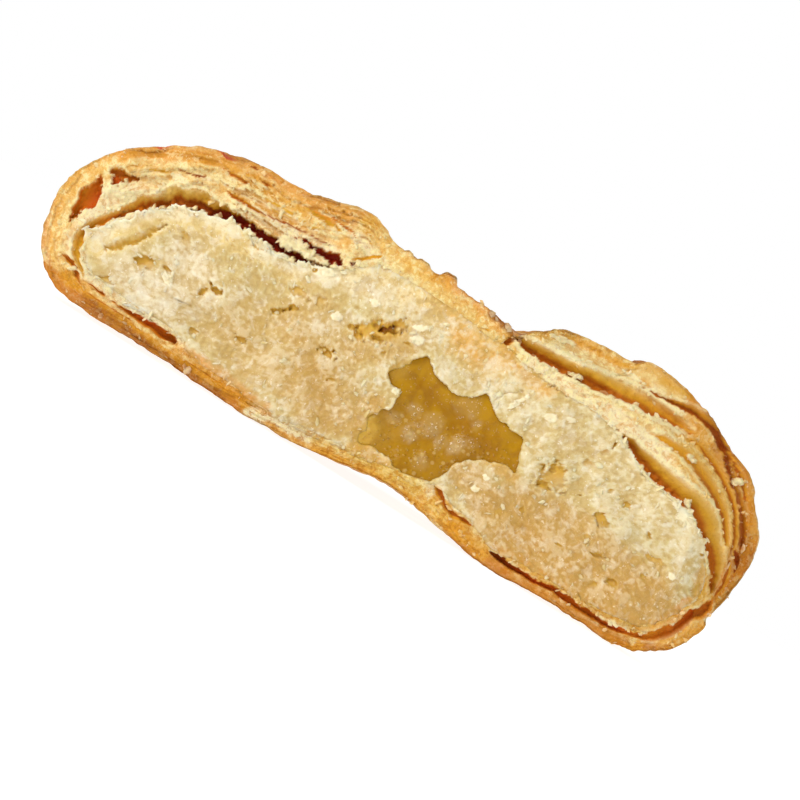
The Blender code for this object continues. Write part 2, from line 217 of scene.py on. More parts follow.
# where the amber centre shows through the paste
amberEdge = [
    (-0.5, 4.3), (-0.7, 5.0), (-0.2, 5.7), (-0.6, 6.4), (-0.9, 7.1), (-0.6, 7.6), (-0.3, 8.1), (-0.2, 8.6),
    (0.4, 8.9), (0.7, 9.4), (0.5, 10.2), (0.5, 10.9), (0.3, 11.6), (-0.6, 11.6), (-1.1, 12.0), (-1.6, 12.4),
    (-1.0, 13.3), (-0.3, 14.3), (-0.1, 15.0), (0.6, 15.6), (1.2, 16.0), (2.0, 15.4), (3.0, 14.8), (4.3, 14.4),
    (5.6, 14.2), (6.4, 14.4), (7.3, 14.8), (8.1, 15.5), (8.5, 16.0), (9.2, 15.7), (9.8, 15.1), (10.6, 14.5),
    (12.1, 14.2), (12.9, 14.1), (13.7, 14.1), (14.6, 13.8), (14.9, 12.7), (15.3, 11.9), (15.6, 11.1),
    (15.6, 10.4), (14.4, 10.6), (13.4, 10.3), (12.4, 9.9), (11.0, 9.2), (10.1, 8.3), (9.5, 7.4), (9.4, 6.4),
    (8.7, 5.3), (7.6, 4.1), (6.1, 3.9), (4.5, 4.0), (3.2, 4.5), (1.9, 4.5), (0.9, 4.7), (0.2, 4.3)]
for form in (crustForm, fillingForm, coreForm):
    form["ground"] = 0.0 if form is crustForm else -1e3
    form["hollowFade"] = 24.0 if form is crustForm else form["fade"]
    form["archFade"] = 40.0 if form is crustForm else form["fade"]
    form["widen"] = 8 if form is crustForm else 0


def plainLoop(form, count):
    # the rounded section without dents
    middleX, middleZ = form["middle"]
    turns = np.linspace(0.0, math.pi, 721)
    across = -np.cos(turns)
    halves = []
    for power, end in ((form["topPower"], form["top"]), (form["basePower"], form["base"])):
        reach = end - middleZ
        x = middleX + form["halfWidth"] * np.sign(across) * np.abs(across) ** (2.0 / power)
        z = middleZ + reach * np.sin(turns) ** (2.0 / power)
        halves.append(np.column_stack([x, z]))
    return np.vstack([evenPlaces(halves[0], count // 2), evenPlaces(halves[1][::-1], count // 2)])


def bodyRing(form, edge, plain, depth):
    # the section of a body at a depth, whose dents fade away behind the break
    middleX, middleZ = form["middle"]
    depth = np.broadcast_to(depth, len(edge)).astype(float)
    inside = np.clip(depth, 0.0, form["depth"] * 0.99999)
    shrink = np.sqrt(1.0 - (inside / form["depth"]) ** 2)
    fade = np.exp(-(inside / form["fade"]) ** 2)
    x = middleX + (plain[:, 0] - middleX) * shrink
    reach = np.minimum(1.0, np.hypot((x - middleX) / form["halfWidth"], inside / form["depth"]))
    onTop = np.arange(len(edge)) <= len(edge) // 2
    power = np.where(onTop, form["topPower"], form["basePower"])
    rise = (1.0 - reach ** power) ** (1.0 / power)
    z = middleZ + rise * np.where(onTop, form["top"] - middleZ, form["base"] - middleZ)
    dent = (edge - plain) * fade[:, None]
    # hollows in the outline run on further back than its bumps
    half = len(edge) // 2
    level = edge[:, 1] - plain[:, 1]
    wide = np.min([np.roll(level, shift) for shift in range(-form["widen"], form["widen"] + 1)], axis=0)
    above = np.interp(x, plain[:half, 0], np.minimum(level[:half], 0.0))
    above += (np.interp(x, plain[:half, 0], np.minimum(wide[:half], 0.0)) - above) * smooth(0.5, 4.0, inside)
    below = np.interp(x, plain[half:, 0][::-1], np.maximum(level[half:], 0.0)[::-1])
    carried = np.where(onTop, above * np.exp(-(inside / form["hollowFade"]) ** 2),
                       below * np.exp(-(inside / form["archFade"]) ** 2))
    carried *= smooth(0.2, 0.7, rise)
    bump, hollow = np.maximum(dent[:, 1], 0.0), np.minimum(dent[:, 1], 0.0)
    lift = np.where(onTop, bump + np.minimum(hollow, carried), hollow + np.maximum(bump, carried))
    return np.column_stack([x + dent[:, 0], depth, np.maximum(form["ground"], z + lift)])


def joinRings(faces, first, second):
    # rings are lists of vertex numbers: equally long, one twice as long as the other, or one a single pole
    if len(first) == 1:
        faces.extend((first[0], second[(j + 1) % len(second)], second[j]) for j in range(len(second)))
    elif len(second) == 1:
        faces.extend((first[j], first[(j + 1) % len(first)], second[0]) for j in range(len(first)))
    elif len(first) == len(second):
        count = len(first)
        for j in range(count):
            corners = (first[j], first[(j + 1) % count], second[(j + 1) % count], second[j])
            kept = tuple(dict.fromkeys(corners))
            if len(kept) > 2:
                faces.append(kept)
    else:
        fine, coarse, turned = (first, second, False) if len(first) > len(second) else (second, first, True)
        count = len(coarse)
        for j in range(count):
            a, b, c = fine[2 * j], fine[2 * j + 1], fine[(2 * j + 2) % len(fine)]
            d, e = coarse[j], coarse[(j + 1) % count]
            for corners in ((a, b, d), (b, e, d), (b, c, e)):
                faces.append(corners[::-1] if turned else corners)


def addValues(mesh, key, values):
    if values.ndim == 1:
        layer = mesh.attributes.new(key, "FLOAT", "POINT")
        layer.data.foreach_set("value", values.astype(np.float32))
    else:
        layer = mesh.attributes.new(key, "FLOAT_COLOR", "POINT")
        full = np.column_stack([values, np.ones(len(values))]).astype(np.float32)
        layer.data.foreach_set("color", full.ravel())


def ringBody(name, rings, values, seamFirst=False):
    # one closed mesh from rings of places, with values and colours for every place; with seamFirst the first
    # ring lies folded on itself, and its two sides share their points
    numbers, kept, start = [], [], 0
    for index, ring in enumerate(rings):
        count = len(ring)
        if index == 0 and seamFirst:
            half = count // 2
            numbers.append([j if j <= half else count - j for j in range(count)])
            kept.append(np.arange(half + 1))
            start = half + 1
        else:
            numbers.append(list(range(start, start + count)))
            kept.append(np.arange(count))
            start += count
    faces = []
    for first, second in zip(numbers, numbers[1:]):
        joinRings(faces, first, second)
    places = np.vstack([ring[keep] for ring, keep in zip(rings, kept)])
    mesh = bpy.data.meshes.new(name)
    mesh.from_pydata(((places + frameShift) * millimetre).tolist(), [], faces)
    for key, parts in values.items():
        addValues(mesh, key, np.concatenate([np.asarray(part)[keep] for part, keep in zip(parts, kept)]))
    shape = bmesh.new()
    shape.from_mesh(mesh)
    if shape.calc_volume(signed=True) < 0.0:
        bmesh.ops.reverse_faces(shape, faces=shape.faces)
    shape.to_mesh(mesh)
    shape.free()
    mesh.shade_smooth()
    print(name, sum(len(face.vertices) - 2 for face in mesh.polygons), "triangles")
    piece = bpy.data.objects.new(name, mesh)
    bpy.context.scene.collection.objects.link(piece)
    return piece


gapDepth = 0.38  # share of each gap's own depth, because deeper ones would swallow the light
usualLip = 0.6  # how much pale crumb there is along a gap that says nothing else
# each gap's floor tones are painted shade down in it, and its wall tones are painted light up its outer wall
gaps = {
    # route points are (x, z, width, ramp): ramp is how wide the lit outer wall is
    "leftPocket": {
        "depth": 3.6, "rag": 0.22, "floor": [(-40.3, "honey"), (-39.7, "deepOrange"), (-38.7, "ember")],
        "wall": "deepOrange",
        "route": [(-39.5, 8.1, 0.3, 0.1), (-39.6, 9.2, 1.0, 0.2), (-39.35, 10.4, 1.5, 0.3),
                  (-39.05, 11.6, 2.0, 0.3), (-39.2, 12.5, 1.4, 0.2), (-39.35, 13.3, 0.7, 0.1),
                  (-39.3, 14.0, 0.15, 0.1)]},
    "leftPocketTop": {
        "depth": 3.0, "rag": 0.2, "floor": "chestnut", "wall": "honey",
        "route": [(-39.0, 14.8, 0.2, 0.1), (-38.2, 15.0, 0.9, 0.3), (-37.4, 14.9, 0.9, 0.3),
                  (-36.6, 15.2, 0.8, 0.2), (-35.8, 15.5, 0.5, 0.1)]},
    "leftPocketFoot": {
        "depth": 2.6, "rag": 0.2, "floor": "ember", "wall": "orange",
        "route": [(-37.3, 13.4, 0.3, 0.0), (-37.7, 14.0, 0.7, 0.0), (-38.0, 14.6, 0.8, 0.0)]},
    "leftCrescent": {
        "depth": 4.6, "rag": 0.3, "lip": 0.8,
        "floor": [(-36.0, "deepOrange"), (-32.0, "rust"), (-28.0, "cocoa"), (-26.0, "maroon")],
        "wall": [(-36.0, "honey"), (-33.0, "olive"), (-27.0, "ochre")],
        "route": [(-36.1, 10.4, 0.2, 0.4), (-35.2, 11.4, 0.5, 0.8), (-34.5, 12.2, 0.6, 1.0),
                  (-33.8, 13.2, 0.8, 1.0), (-33.2, 14.0, 0.85, 1.0), (-32.2, 14.8, 0.85, 1.1),
                  (-31.0, 15.65, 0.7, 1.4), (-29.6, 16.4, 0.7, 1.4), (-28.0, 16.85, 0.8, 1.2),
                  (-26.0, 17.3, 0.8, 0.5), (-24.0, 17.65, 0.7, 0.25), (-22.6, 17.9, 0.6, 0.15),
                  (-21.5, 17.7, 1.2, 0.15), (-20.3, 17.65, 1.4, 0.15), (-19.2, 17.4, 0.9, 0.1),
                  (-18.4, 17.25, 0.5, 0.1), (-17.6, 17.5, 1.0, 0.15), (-16.5, 17.5, 1.0, 0.15),
                  (-15.5, 17.8, 0.7, 0.1), (-14.6, 18.15, 0.35, 0.1), (-13.4, 18.7, 0.3, 0.1)]},
    "leftCrescentEnd": {
        "depth": 2.2, "rag": 0.12, "lip": 0.1, "floor": [(-37.4, "honey"), (-36.0, "deepOrange")],
        "wall": "gold",
        "route": [(-36.8, 5.0, 0.2, 0.3), (-37.4, 6.2, 0.5, 0.5), (-37.65, 7.0, 0.8, 0.5),
                  (-37.4, 8.0, 0.85, 0.5), (-36.9, 9.0, 0.75, 0.5), (-36.35, 10.0, 0.65, 0.5),
                  (-35.6, 11.1, 0.5, 0.6), (-34.9, 11.9, 0.2, 0.6)]},
    "leftBranch": {
        "depth": 3.4, "rag": 0.2, "lip": 0.6, "floor": "maroon", "wall": "chestnut",
        "route": [(-18.4, 19.3, 0.12, 0.1), (-16.5, 19.45, 0.4, 0.15), (-15.0, 19.55, 0.55, 0.2),
                  (-13.7, 19.5, 1.1, 0.2), (-13.0, 19.5, 1.2, 0.2), (-12.4, 19.5, 0.6, 0.1),
                  (-11.7, 19.4, 0.15, 0.0)]},
    "leftBranchEnd": {
        "depth": 2.0, "rag": 0.1, "floor": "maroon", "wall": "chestnut",
        "route": [(-11.7, 20.1, 0.15, 0.0), (-11.1, 20.2, 0.45, 0.1), (-10.5, 20.25, 0.15, 0.0)]},
    "leftBranchCrack": {
        "depth": 1.2, "rag": 0.08, "floor": "honey", "wall": "gold",
        "route": [(-11.5, 20.6, 0.2, 0.1), (-10.5, 21.4, 0.3, 0.1), (-9.6, 22.1, 0.3, 0.1),
                  (-9.0, 22.6, 0.15, 0.1)]},
    "leftGroove": {
        "depth": 1.6, "rag": 0.12, "floor": "ochre", "wall": "gold",
        "route": [(-35.2, 3.9, 0.2, 0.1), (-36.3, 4.5, 0.5, 0.2), (-37.2, 5.5, 0.6, 0.3),
                  (-37.7, 6.6, 0.6, 0.4)]},
    "leftSlit": {
        "depth": 2.0, "rag": 0.12, "floor": "chestnut", "wall": "honey",
        "route": [(-35.0, 3.0, 0.15, 0.0), (-35.8, 3.35, 0.35, 0.1), (-36.6, 3.9, 0.45, 0.1),
                  (-37.4, 4.4, 0.45, 0.2), (-38.3, 4.6, 0.2, 0.1)]},
    "leftBase": {
        "depth": 3.2, "rag": 0.1, "lip": 0.35,
        "floor": [(-30.0, "rust"), (-26.5, "ember"), (-24.6, "rust"), (-23.4, "chestnut")],
        "wall": [(-30.0, "orange"), (-25.0, "deepOrange")],
        "route": [(-23.1, 3.0, 0.75, 0.05), (-23.7, 3.05, 1.0, 0.1), (-25.0, 3.15, 0.8, 0.3),
                  (-26.5, 3.2, 0.5, 0.4), (-29.0, 3.2, 0.28, 0.3), (-31.5, 3.2, 0.22, 0.2),
                  (-33.2, 3.35, 0.2, 0.1), (-34.5, 3.5, 0.12, 0.0)]},
    "leftBaseCrack": {
        "depth": 1.0, "rag": 0.06, "floor": "chestnut", "wall": "honey",
        "route": [(-27.5, 2.45, 0.12, 0.0), (-31.0, 2.4, 0.16, 0.0), (-34.5, 2.45, 0.12, 0.0)]},
    "topCrackA": {
        "depth": 1.6, "rag": 0.08, "floor": "cocoa", "wall": "honey",
        "route": [(-32.6, 18.9, 0.1, 0.0), (-31.2, 19.25, 0.28, 0.1), (-29.7, 19.85, 0.14, 0.0)]},
    "topCrackB": {
        "depth": 1.8, "rag": 0.07, "floor": [(-24.0, "chestnut"), (-19.0, "cocoa")], "wall": "honey",
        "route": [(-27.2, 19.7, 0.1, 0.1), (-25.8, 19.6, 0.3, 0.2), (-24.0, 19.6, 0.25, 0.2),
                  (-22.0, 19.75, 0.2, 0.1), (-19.5, 20.2, 0.2, 0.0), (-17.0, 20.4, 0.14, 0.0),
                  (-14.5, 20.65, 0.1, 0.0)]},
    "topCrackC": {
        "depth": 1.4, "rag": 0.08, "floor": "chestnut", "wall": "honey",
        "route": [(-28.6, 21.55, 0.12, 0.1), (-26.8, 21.6, 0.34, 0.2), (-25.0, 21.7, 0.14, 0.1)]},
    "topCrackD": {
        "depth": 1.6, "rag": 0.05, "floor": "cocoa", "wall": "chestnut",
        "route": [(-26.2, 23.4, 0.14, 0.0), (-25.8, 23.5, 0.24, 0.0), (-25.3, 23.5, 0.1, 0.0)]},
    "topCrackE": {
        "depth": 1.3, "rag": 0.06, "floor": "chestnut", "wall": "honey",
        "route": [(-24.6, 22.6, 0.14, 0.1), (-23.8, 22.65, 0.26, 0.1), (-22.9, 22.6, 0.12, 0.1)]},
    "topCrackF": {
        "depth": 1.2, "rag": 0.07, "floor": "ochre", "wall": "honey",
        "route": [(-24.5, 21.0, 0.1, 0.0), (-21.8, 21.3, 0.24, 0.1), (-19.0, 21.4, 0.16, 0.1),
                  (-16.8, 21.1, 0.1, 0.0)]},
    "topCrackG": {
        "depth": 1.4, "rag": 0.08, "floor": "ochre", "wall": "orange",
        "route": [(-18.7, 22.75, 0.14, 0.1), (-17.0, 22.7, 0.34, 0.3), (-15.4, 22.6, 0.45, 0.4),
                  (-14.0, 22.6, 0.14, 0.1)]},
    "topCrackH": {
        "depth": 1.2, "rag": 0.07, "floor": "chestnut", "wall": "honey",
        "route": [(-16.6, 23.4, 0.1, 0.0), (-14.8, 23.25, 0.26, 0.1), (-13.2, 23.2, 0.2, 0.1),
                  (-12.5, 22.85, 0.2, 0.0)]},
    "topCrackI": {
        "depth": 1.0, "rag": 0.05, "floor": "ochre", "wall": "honey",
        "route": [(-11.5, 23.0, 0.1, 0.0), (-10.6, 23.2, 0.16, 0.0), (-9.9, 23.35, 0.1, 0.0)]},
    "topCrackJ": {
        "depth": 1.0, "rag": 0.06, "floor": "ochre", "wall": "honey",
        "route": [(-35.3, 17.2, 0.1, 0.0), (-34.0, 17.9, 0.24, 0.1), (-32.9, 18.2, 0.1, 0.0)]},
    "topCrackK": {
        "depth": 1.0, "rag": 0.05, "floor": "ochre", "wall": "honey",
        "route": [(-22.5, 20.65, 0.08, 0.0), (-20.0, 20.85, 0.16, 0.0), (-15.5, 21.6, 0.08, 0.0)]},
    "midNotch": {
        "depth": 2.2, "rag": 0.15, "floor": "chestnut", "wall": "honey",
        "route": [(7.3, 21.3, 0.4, 0.1), (7.6, 22.0, 0.6, 0.1), (7.9, 22.5, 0.5, 0.1)]},
    "midCrack": {
        "depth": 1.2, "rag": 0.08, "floor": "honey", "wall": "gold",
        "route": [(4.2, 21.7, 0.15, 0.0), (5.1, 21.9, 0.2, 0.1), (5.4, 22.3, 0.12, 0.0)]},
    "rightTop": {
        "depth": 4.2, "rag": 0.11, "lip": 0.9, "floor": [(9.0, "rust"), (14.0, "chestnut"), (20.0, "rust")],
        "wall": [(9.0, "ochre"), (18.0, "ochre"), (26.0, "honey")],
        "route": [(7.9, 22.9, 0.15, 0.2), (9.0, 22.5, 0.35, 0.9), (11.0, 22.4, 0.45, 1.1),
                  (13.0, 22.45, 0.55, 1.2), (14.5, 22.6, 0.55, 1.3), (16.5, 22.8, 0.5, 1.4),
                  (18.0, 23.0, 0.75, 1.4), (19.5, 23.1, 0.6, 1.6), (21.3, 23.3, 0.35, 1.7),
                  (23.5, 23.6, 0.25, 1.7), (26.0, 23.8, 0.2, 1.5), (28.0, 23.9, 0.15, 1.1),
                  (29.6, 24.1, 0.1, 0.5)]},
    "rightFlake": {
        "depth": 3.4, "rag": 0.08, "lip": 0.5,
        "floor": [(25.0, "rust"), (33.0, "cocoa"), (40.0, "chestnut")], "wall": "honey",
        "route": [(22.4, 25.5, 0.1, 0.0), (25.0, 25.75, 0.25, 0.1), (26.5, 25.95, 0.35, 0.3),
                  (28.5, 26.05, 0.45, 0.6), (30.5, 25.9, 0.45, 0.7), (32.0, 25.4, 0.7, 0.5),
                  (33.2, 24.7, 0.8, 0.3), (34.3, 23.8, 0.6, 0.2), (35.4, 22.7, 0.5, 0.2),
                  (36.4, 21.7, 0.4, 0.4), (37.6, 20.7, 0.4, 0.5), (38.7, 19.6, 0.5, 0.4),
                  (39.6, 18.4, 0.8, 0.2), (40.3, 17.1, 0.7, 0.1), (40.7, 16.3, 0.2, 0.0)]},
    "rightCrescent": {
        "depth": 4.2, "rag": 0.12, "lip": 0.8,
        "floor": [(24.0, "chestnut"), (34.0, "rust"), (40.0, "chestnut")], "wall": "ochre",
        "route": [(22.6, 20.2, 0.2, 0.1), (23.8, 19.9, 0.25, 0.3), (25.0, 19.4, 0.5, 0.7),
                  (26.3, 18.7, 0.6, 1.1), (27.6, 18.3, 0.6, 1.4), (29.0, 17.9, 0.7, 1.6),
                  (30.5, 17.5, 0.6, 1.8), (32.5, 17.2, 0.5, 2.0), (34.2, 17.1, 0.35, 2.0),
                  (35.7, 16.3, 0.6, 2.1), (36.4, 15.4, 0.8, 1.9), (37.5, 14.7, 0.7, 1.6),
                  (38.7, 13.7, 0.6, 1.2), (39.4, 12.7, 0.5, 1.0), (39.9, 11.7, 0.4, 0.8),
                  (40.3, 10.6, 0.15, 0.3)]},
    "rightSheet": {
        "depth": 2.6, "rag": 0.07, "lip": 0.55, "floor": [(28.0, "honey"), (35.0, "rust")], "wall": "honey",
        "route": [(26.0, 21.7, 0.1, 0.5), (28.6, 21.6, 0.15, 1.1), (31.0, 21.3, 0.15, 1.3),
                  (33.0, 20.6, 0.2, 1.2), (35.0, 19.7, 0.25, 1.0), (37.0, 18.4, 0.25, 0.8),
                  (38.1, 17.1, 0.25, 0.7), (38.9, 15.9, 0.2, 0.5)]},
    "rightSheetTwo": {
        "depth": 2.2, "rag": 0.07, "lip": 0.45, "floor": "rust", "wall": "honey",
        "route": [(29.5, 23.5, 0.1, 0.2), (31.5, 23.1, 0.15, 0.7), (33.4, 22.4, 0.2, 0.8),
                  (35.5, 21.2, 0.2, 0.7), (37.2, 20.0, 0.25, 0.6), (38.4, 18.6, 0.3, 0.6),
                  (39.3, 17.2, 0.25, 0.6), (40.0, 15.4, 0.2, 0.4)]},
    "rightSheetThree": {
        "depth": 1.8, "rag": 0.1, "lip": 0.35, "floor": "rust", "wall": "honey",
        "route": [(33.4, 24.4, 0.1, 0.0), (35.0, 23.9, 0.3, 0.2), (36.6, 22.9, 0.3, 0.3),
                  (37.9, 21.5, 0.3, 0.3), (38.6, 20.9, 0.15, 0.1)]},
    "rightSheetFour": {
        "depth": 2.0, "rag": 0.1, "floor": "cocoa", "wall": "rust",
        "route": [(40.4, 15.8, 0.3, 0.1), (40.9, 15.2, 0.6, 0.2), (41.3, 14.4, 0.4, 0.1),
                  (41.5, 13.8, 0.15, 0.0)]},
    "rightSheetFive": {
        "depth": 1.6, "rag": 0.06, "lip": 0.35, "floor": "rust", "wall": "honey",
        "route": [(40.3, 14.6, 0.15, 0.2), (40.8, 13.2, 0.3, 0.4), (41.0, 11.8, 0.25, 0.3),
                  (41.0, 10.6, 0.15, 0.1)]},
    "rightSide": {
        "depth": 2.0, "rag": 0.1, "floor": "rust", "wall": "orange",
        "route": [(40.9, 9.9, 0.3, 0.3), (40.8, 9.0, 0.8, 0.4), (40.5, 8.2, 1.0, 0.4),
                  (40.0, 7.6, 0.7, 0.3)]},
    "rightBase": {
        "depth": 2.8, "rag": 0.09, "lip": 0.45,
        "floor": [
            (20.0, "cocoa"), (24.0, "ember"), (30.0, "rust"), (34.0, "ember"), (37.5, "orange"),
            (40.0, "ember")],
        "wall": [(22.0, "orange"), (36.0, "orange"), (39.0, "rust")],
        "route": [(39.9, 7.8, 0.7, 0.2), (39.55, 6.9, 0.6, 0.7), (39.1, 5.8, 0.5, 0.9),
                  (38.3, 4.5, 0.5, 0.9), (37.5, 3.5, 0.55, 0.6), (36.4, 2.75, 0.5, 0.3),
                  (35.2, 2.25, 0.35, 0.2), (34.0, 2.0, 0.45, 0.2), (32.0, 1.85, 0.5, 0.25),
                  (30.0, 1.85, 0.55, 0.25), (28.0, 1.9, 0.65, 0.2), (26.0, 1.95, 0.55, 0.2),
                  (24.5, 1.75, 0.4, 0.2), (22.5, 1.6, 0.5, 0.15), (20.5, 1.7, 0.6, 0.15),
                  (19.0, 1.7, 0.65, 0.1), (17.9, 1.8, 0.25, 0.0)]},
    "baseShade": {
        "depth": 1.8, "rag": 0.1, "lip": 0.2, "floor": "rust", "wall": "honey",
        "route": [(14.6, 3.1, 0.2, 0.2), (13.4, 3.3, 0.4, 0.3), (12.2, 3.2, 0.35, 0.4),
                  (11.0, 3.6, 0.35, 0.4), (10.0, 4.4, 0.5, 0.4), (9.2, 4.8, 0.3, 0.2)]},
}
tones = {
    # before shading, so the ones down in gaps are brighter here than they look; the dark floor tones there
    # are painted shade as well
    "cream": (0.95, 0.88, 0.7), "pale": (0.98, 0.94, 0.82), "butter": (0.94, 0.84, 0.58),
    "sand": (0.86, 0.785, 0.57), "tan": (0.81, 0.67, 0.38), "gold": (0.92, 0.73, 0.34),
    "honey": (0.88, 0.62, 0.15), "ochre": (0.84, 0.62, 0.16), "orange": (0.9, 0.59, 0.16),
    "rust": (0.74, 0.4, 0.08), "beige": (0.86, 0.67, 0.32), "brown": (0.62, 0.38, 0.12),
    "olive": (0.85, 0.68, 0.29), "grey": (0.91, 0.85, 0.72), "chestnut": (0.76, 0.42, 0.08),
    "ember": (0.8, 0.36, 0.06), "cocoa": (0.62, 0.28, 0.05), "maroon": (0.56, 0.12, 0.03),
    "baked": (0.79, 0.47, 0.07), "toast": (0.62, 0.35, 0.08), "deepOrange": (0.85, 0.49, 0.08),
    "umber": (0.46, 0.2, 0.09),
}


def linear(tone):
    return np.array([part / 12.92 if part <= 0.04045 else ((part + 0.055) / 1.055) ** 2.4 for part in tone])


def insideness(xz, loop):
    # signed distance to a closed loop, positive inside it
    route = np.vstack([loop, loop[:1]])
    near, side, _, _ = sideOf(xz, route, 3.0)
    signed = np.full(len(xz), -3.0)
    signed[near] = -side
    return signed


fillingLoop = halfLoops(fillingForm["edge"], fillingForm["tip"], 240)
amberLoop = splineThrough(amberEdge, 4, closed=True)


def outwardness(xz):
    # 0 in the middle of the whole section, 1 on its plain outline
    up = xz[:, 1] - cake["rim"]
    power = np.where(up >= 0.0, cake["topPower"], cake["basePower"])
    height = np.where(up >= 0.0, cake["top"] - cake["rim"], cake["rim"])
    return ((np.abs(xz[:, 0]) / cake["radius"]) ** power + (np.abs(up) / height) ** power) ** (1.0 / power)


def broadRelief(xz):
    # how far back the torn face lies, without its gaps
    places = flat3(xz)
    outside = outwardness(xz)
    x, z = xz[:, 0], xz[:, 1]
    right = 4.2 * smooth(24.0, 37.0, x) * smooth(0.84, 1.0, outside) * smooth(2.0, 12.0, z)
    top = 1.8 * smooth(8.0, 14.0, x) * smooth(0.90, 1.02, outside) * smooth(14.0, 22.0, z)
    rim = 0.8 * smooth(0.90, 1.02, outside)
    return 0.45 * noiseAt(places, 5.5, 3) + 0.2 * noiseAt(places, 2.4, 9) + rim + np.maximum(right, top)


def asSeen(xz):
    # where the camera sees a place of the torn face: further back means nearer to the middle
    return photo["middle"] + (xz - photo["middle"]) / (1.0 + broadRelief(xz) / eyeDistance)[:, None]


def crumbRelief(xz):
    # the broken surface of the paste, which the dough beside it shares
    places = flat3(xz)
    swell = noiseAt(places, 3.2, 61, layers=2)
    lump = noiseAt(places, 1.3, 62, layers=3, gain=0.6)
    nearest, _, own = cellsAt(places + 0.2 * noiseAt(places, 0.6, 60)[:, None], 0.50, 63)
    grain = (0.55 - nearest) * (0.5 + 0.5 * own)
    fine = noiseAt(places, 0.36, 64, layers=2)
    return swell, lump, grain, fine


def alongTone(x, stops):
    # one tone, or a colour that changes from place to place along x
    if isinstance(stops, str):
        return np.tile(linear(tones[stops]), (len(x), 1))
    places = [stop[0] for stop in stops]
    colours = np.array([linear(tones[stop[1]]) for stop in stops])
    return np.column_stack([np.interp(x, places, colours[:, part]) for part in range(3)])


def carveGaps(xz, look):
    # a steep inner lip with pale crumbs, a floor painted dark as shade against it, and a wall painted lighter
    # as it ramps out to the light
    places = flat3(xz)
    ragged = noiseAt(places, 1.3, 41, layers=4, gain=0.65)
    teeth = np.abs(noiseAt(places, 1.0, 45, layers=2, gain=0.75))
    for gap in gaps.values():
        near, side, values, past = sideOf(xz, splineThrough(gap["route"], 6), 3.4)
        if not len(near):
            continue
        width, ramp = values[:, 0], np.maximum(values[:, 1], 0.05)
        half = 0.5 * width * (1.0 - smooth(0.0, 0.35, past))
        rag = gap["rag"]
        inner = side + half - rag * (ragged[near] + 2.4 * teeth[near] - 1.0)
        outer = side - half - rag * ragged[near]
        wallShare = np.clip(np.maximum(outer, 0.0) / ramp, 0.0, 1.0)
        ends = 1.0 - smooth(0.1, 0.6, past)
        floor = 0.45 * smooth(0.0, 0.12, inner) + 0.55 * smooth(0.0, 0.7, inner)
        floor *= smooth(0.0, 0.12, half) * ends
        shape = floor * (1.0 - wallShare ** 0.8)
        reach = gapDepth * gap["depth"] * smooth(0.0, 0.5, width + 0.35 * ramp)
        look["cut"][near] = np.maximum(look["cut"][near], reach * shape)
        cover = smooth(0.02, 0.22, shape)
        onWall = smooth(0.0, 0.35, outer / np.maximum(ramp, 0.25))
        # painted shade: the floor tone darkens the bottom of the gap, and the wall tone takes over up the
        # outer wall
        tone = alongTone(xz[near, 0], gap["floor"])
        tone += (alongTone(xz[near, 0], gap["wall"]) - tone) * onWall[:, None]
        # painted highlight: butter near the top of a wide outer wall
        paintedWallLight = 0.45 * smooth(0.35, 1.0, wallShare) * (ramp > 0.4)
        tone += (linear(tones["butter"]) - tone) * paintedWallLight[:, None]
        innerLip = np.exp(-((inner + 0.22) / 0.26) ** 2)
        outerLip = (ramp > 0.25) * np.exp(-((outer - ramp - 0.15) / 0.25) ** 2)
        crest = ends * gap.get("lip", usualLip) * (innerLip + outerLip)
        crest *= smooth(0.12, 0.3, width + 0.4 * ramp)
        look["crest"][near] = np.maximum(look["crest"][near], crest) * (1.0 - cover)
        look["paint"][near] += (tone - look["paint"][near]) * cover[:, None]
        look["deep"][near] = np.maximum(look["deep"][near], cover)


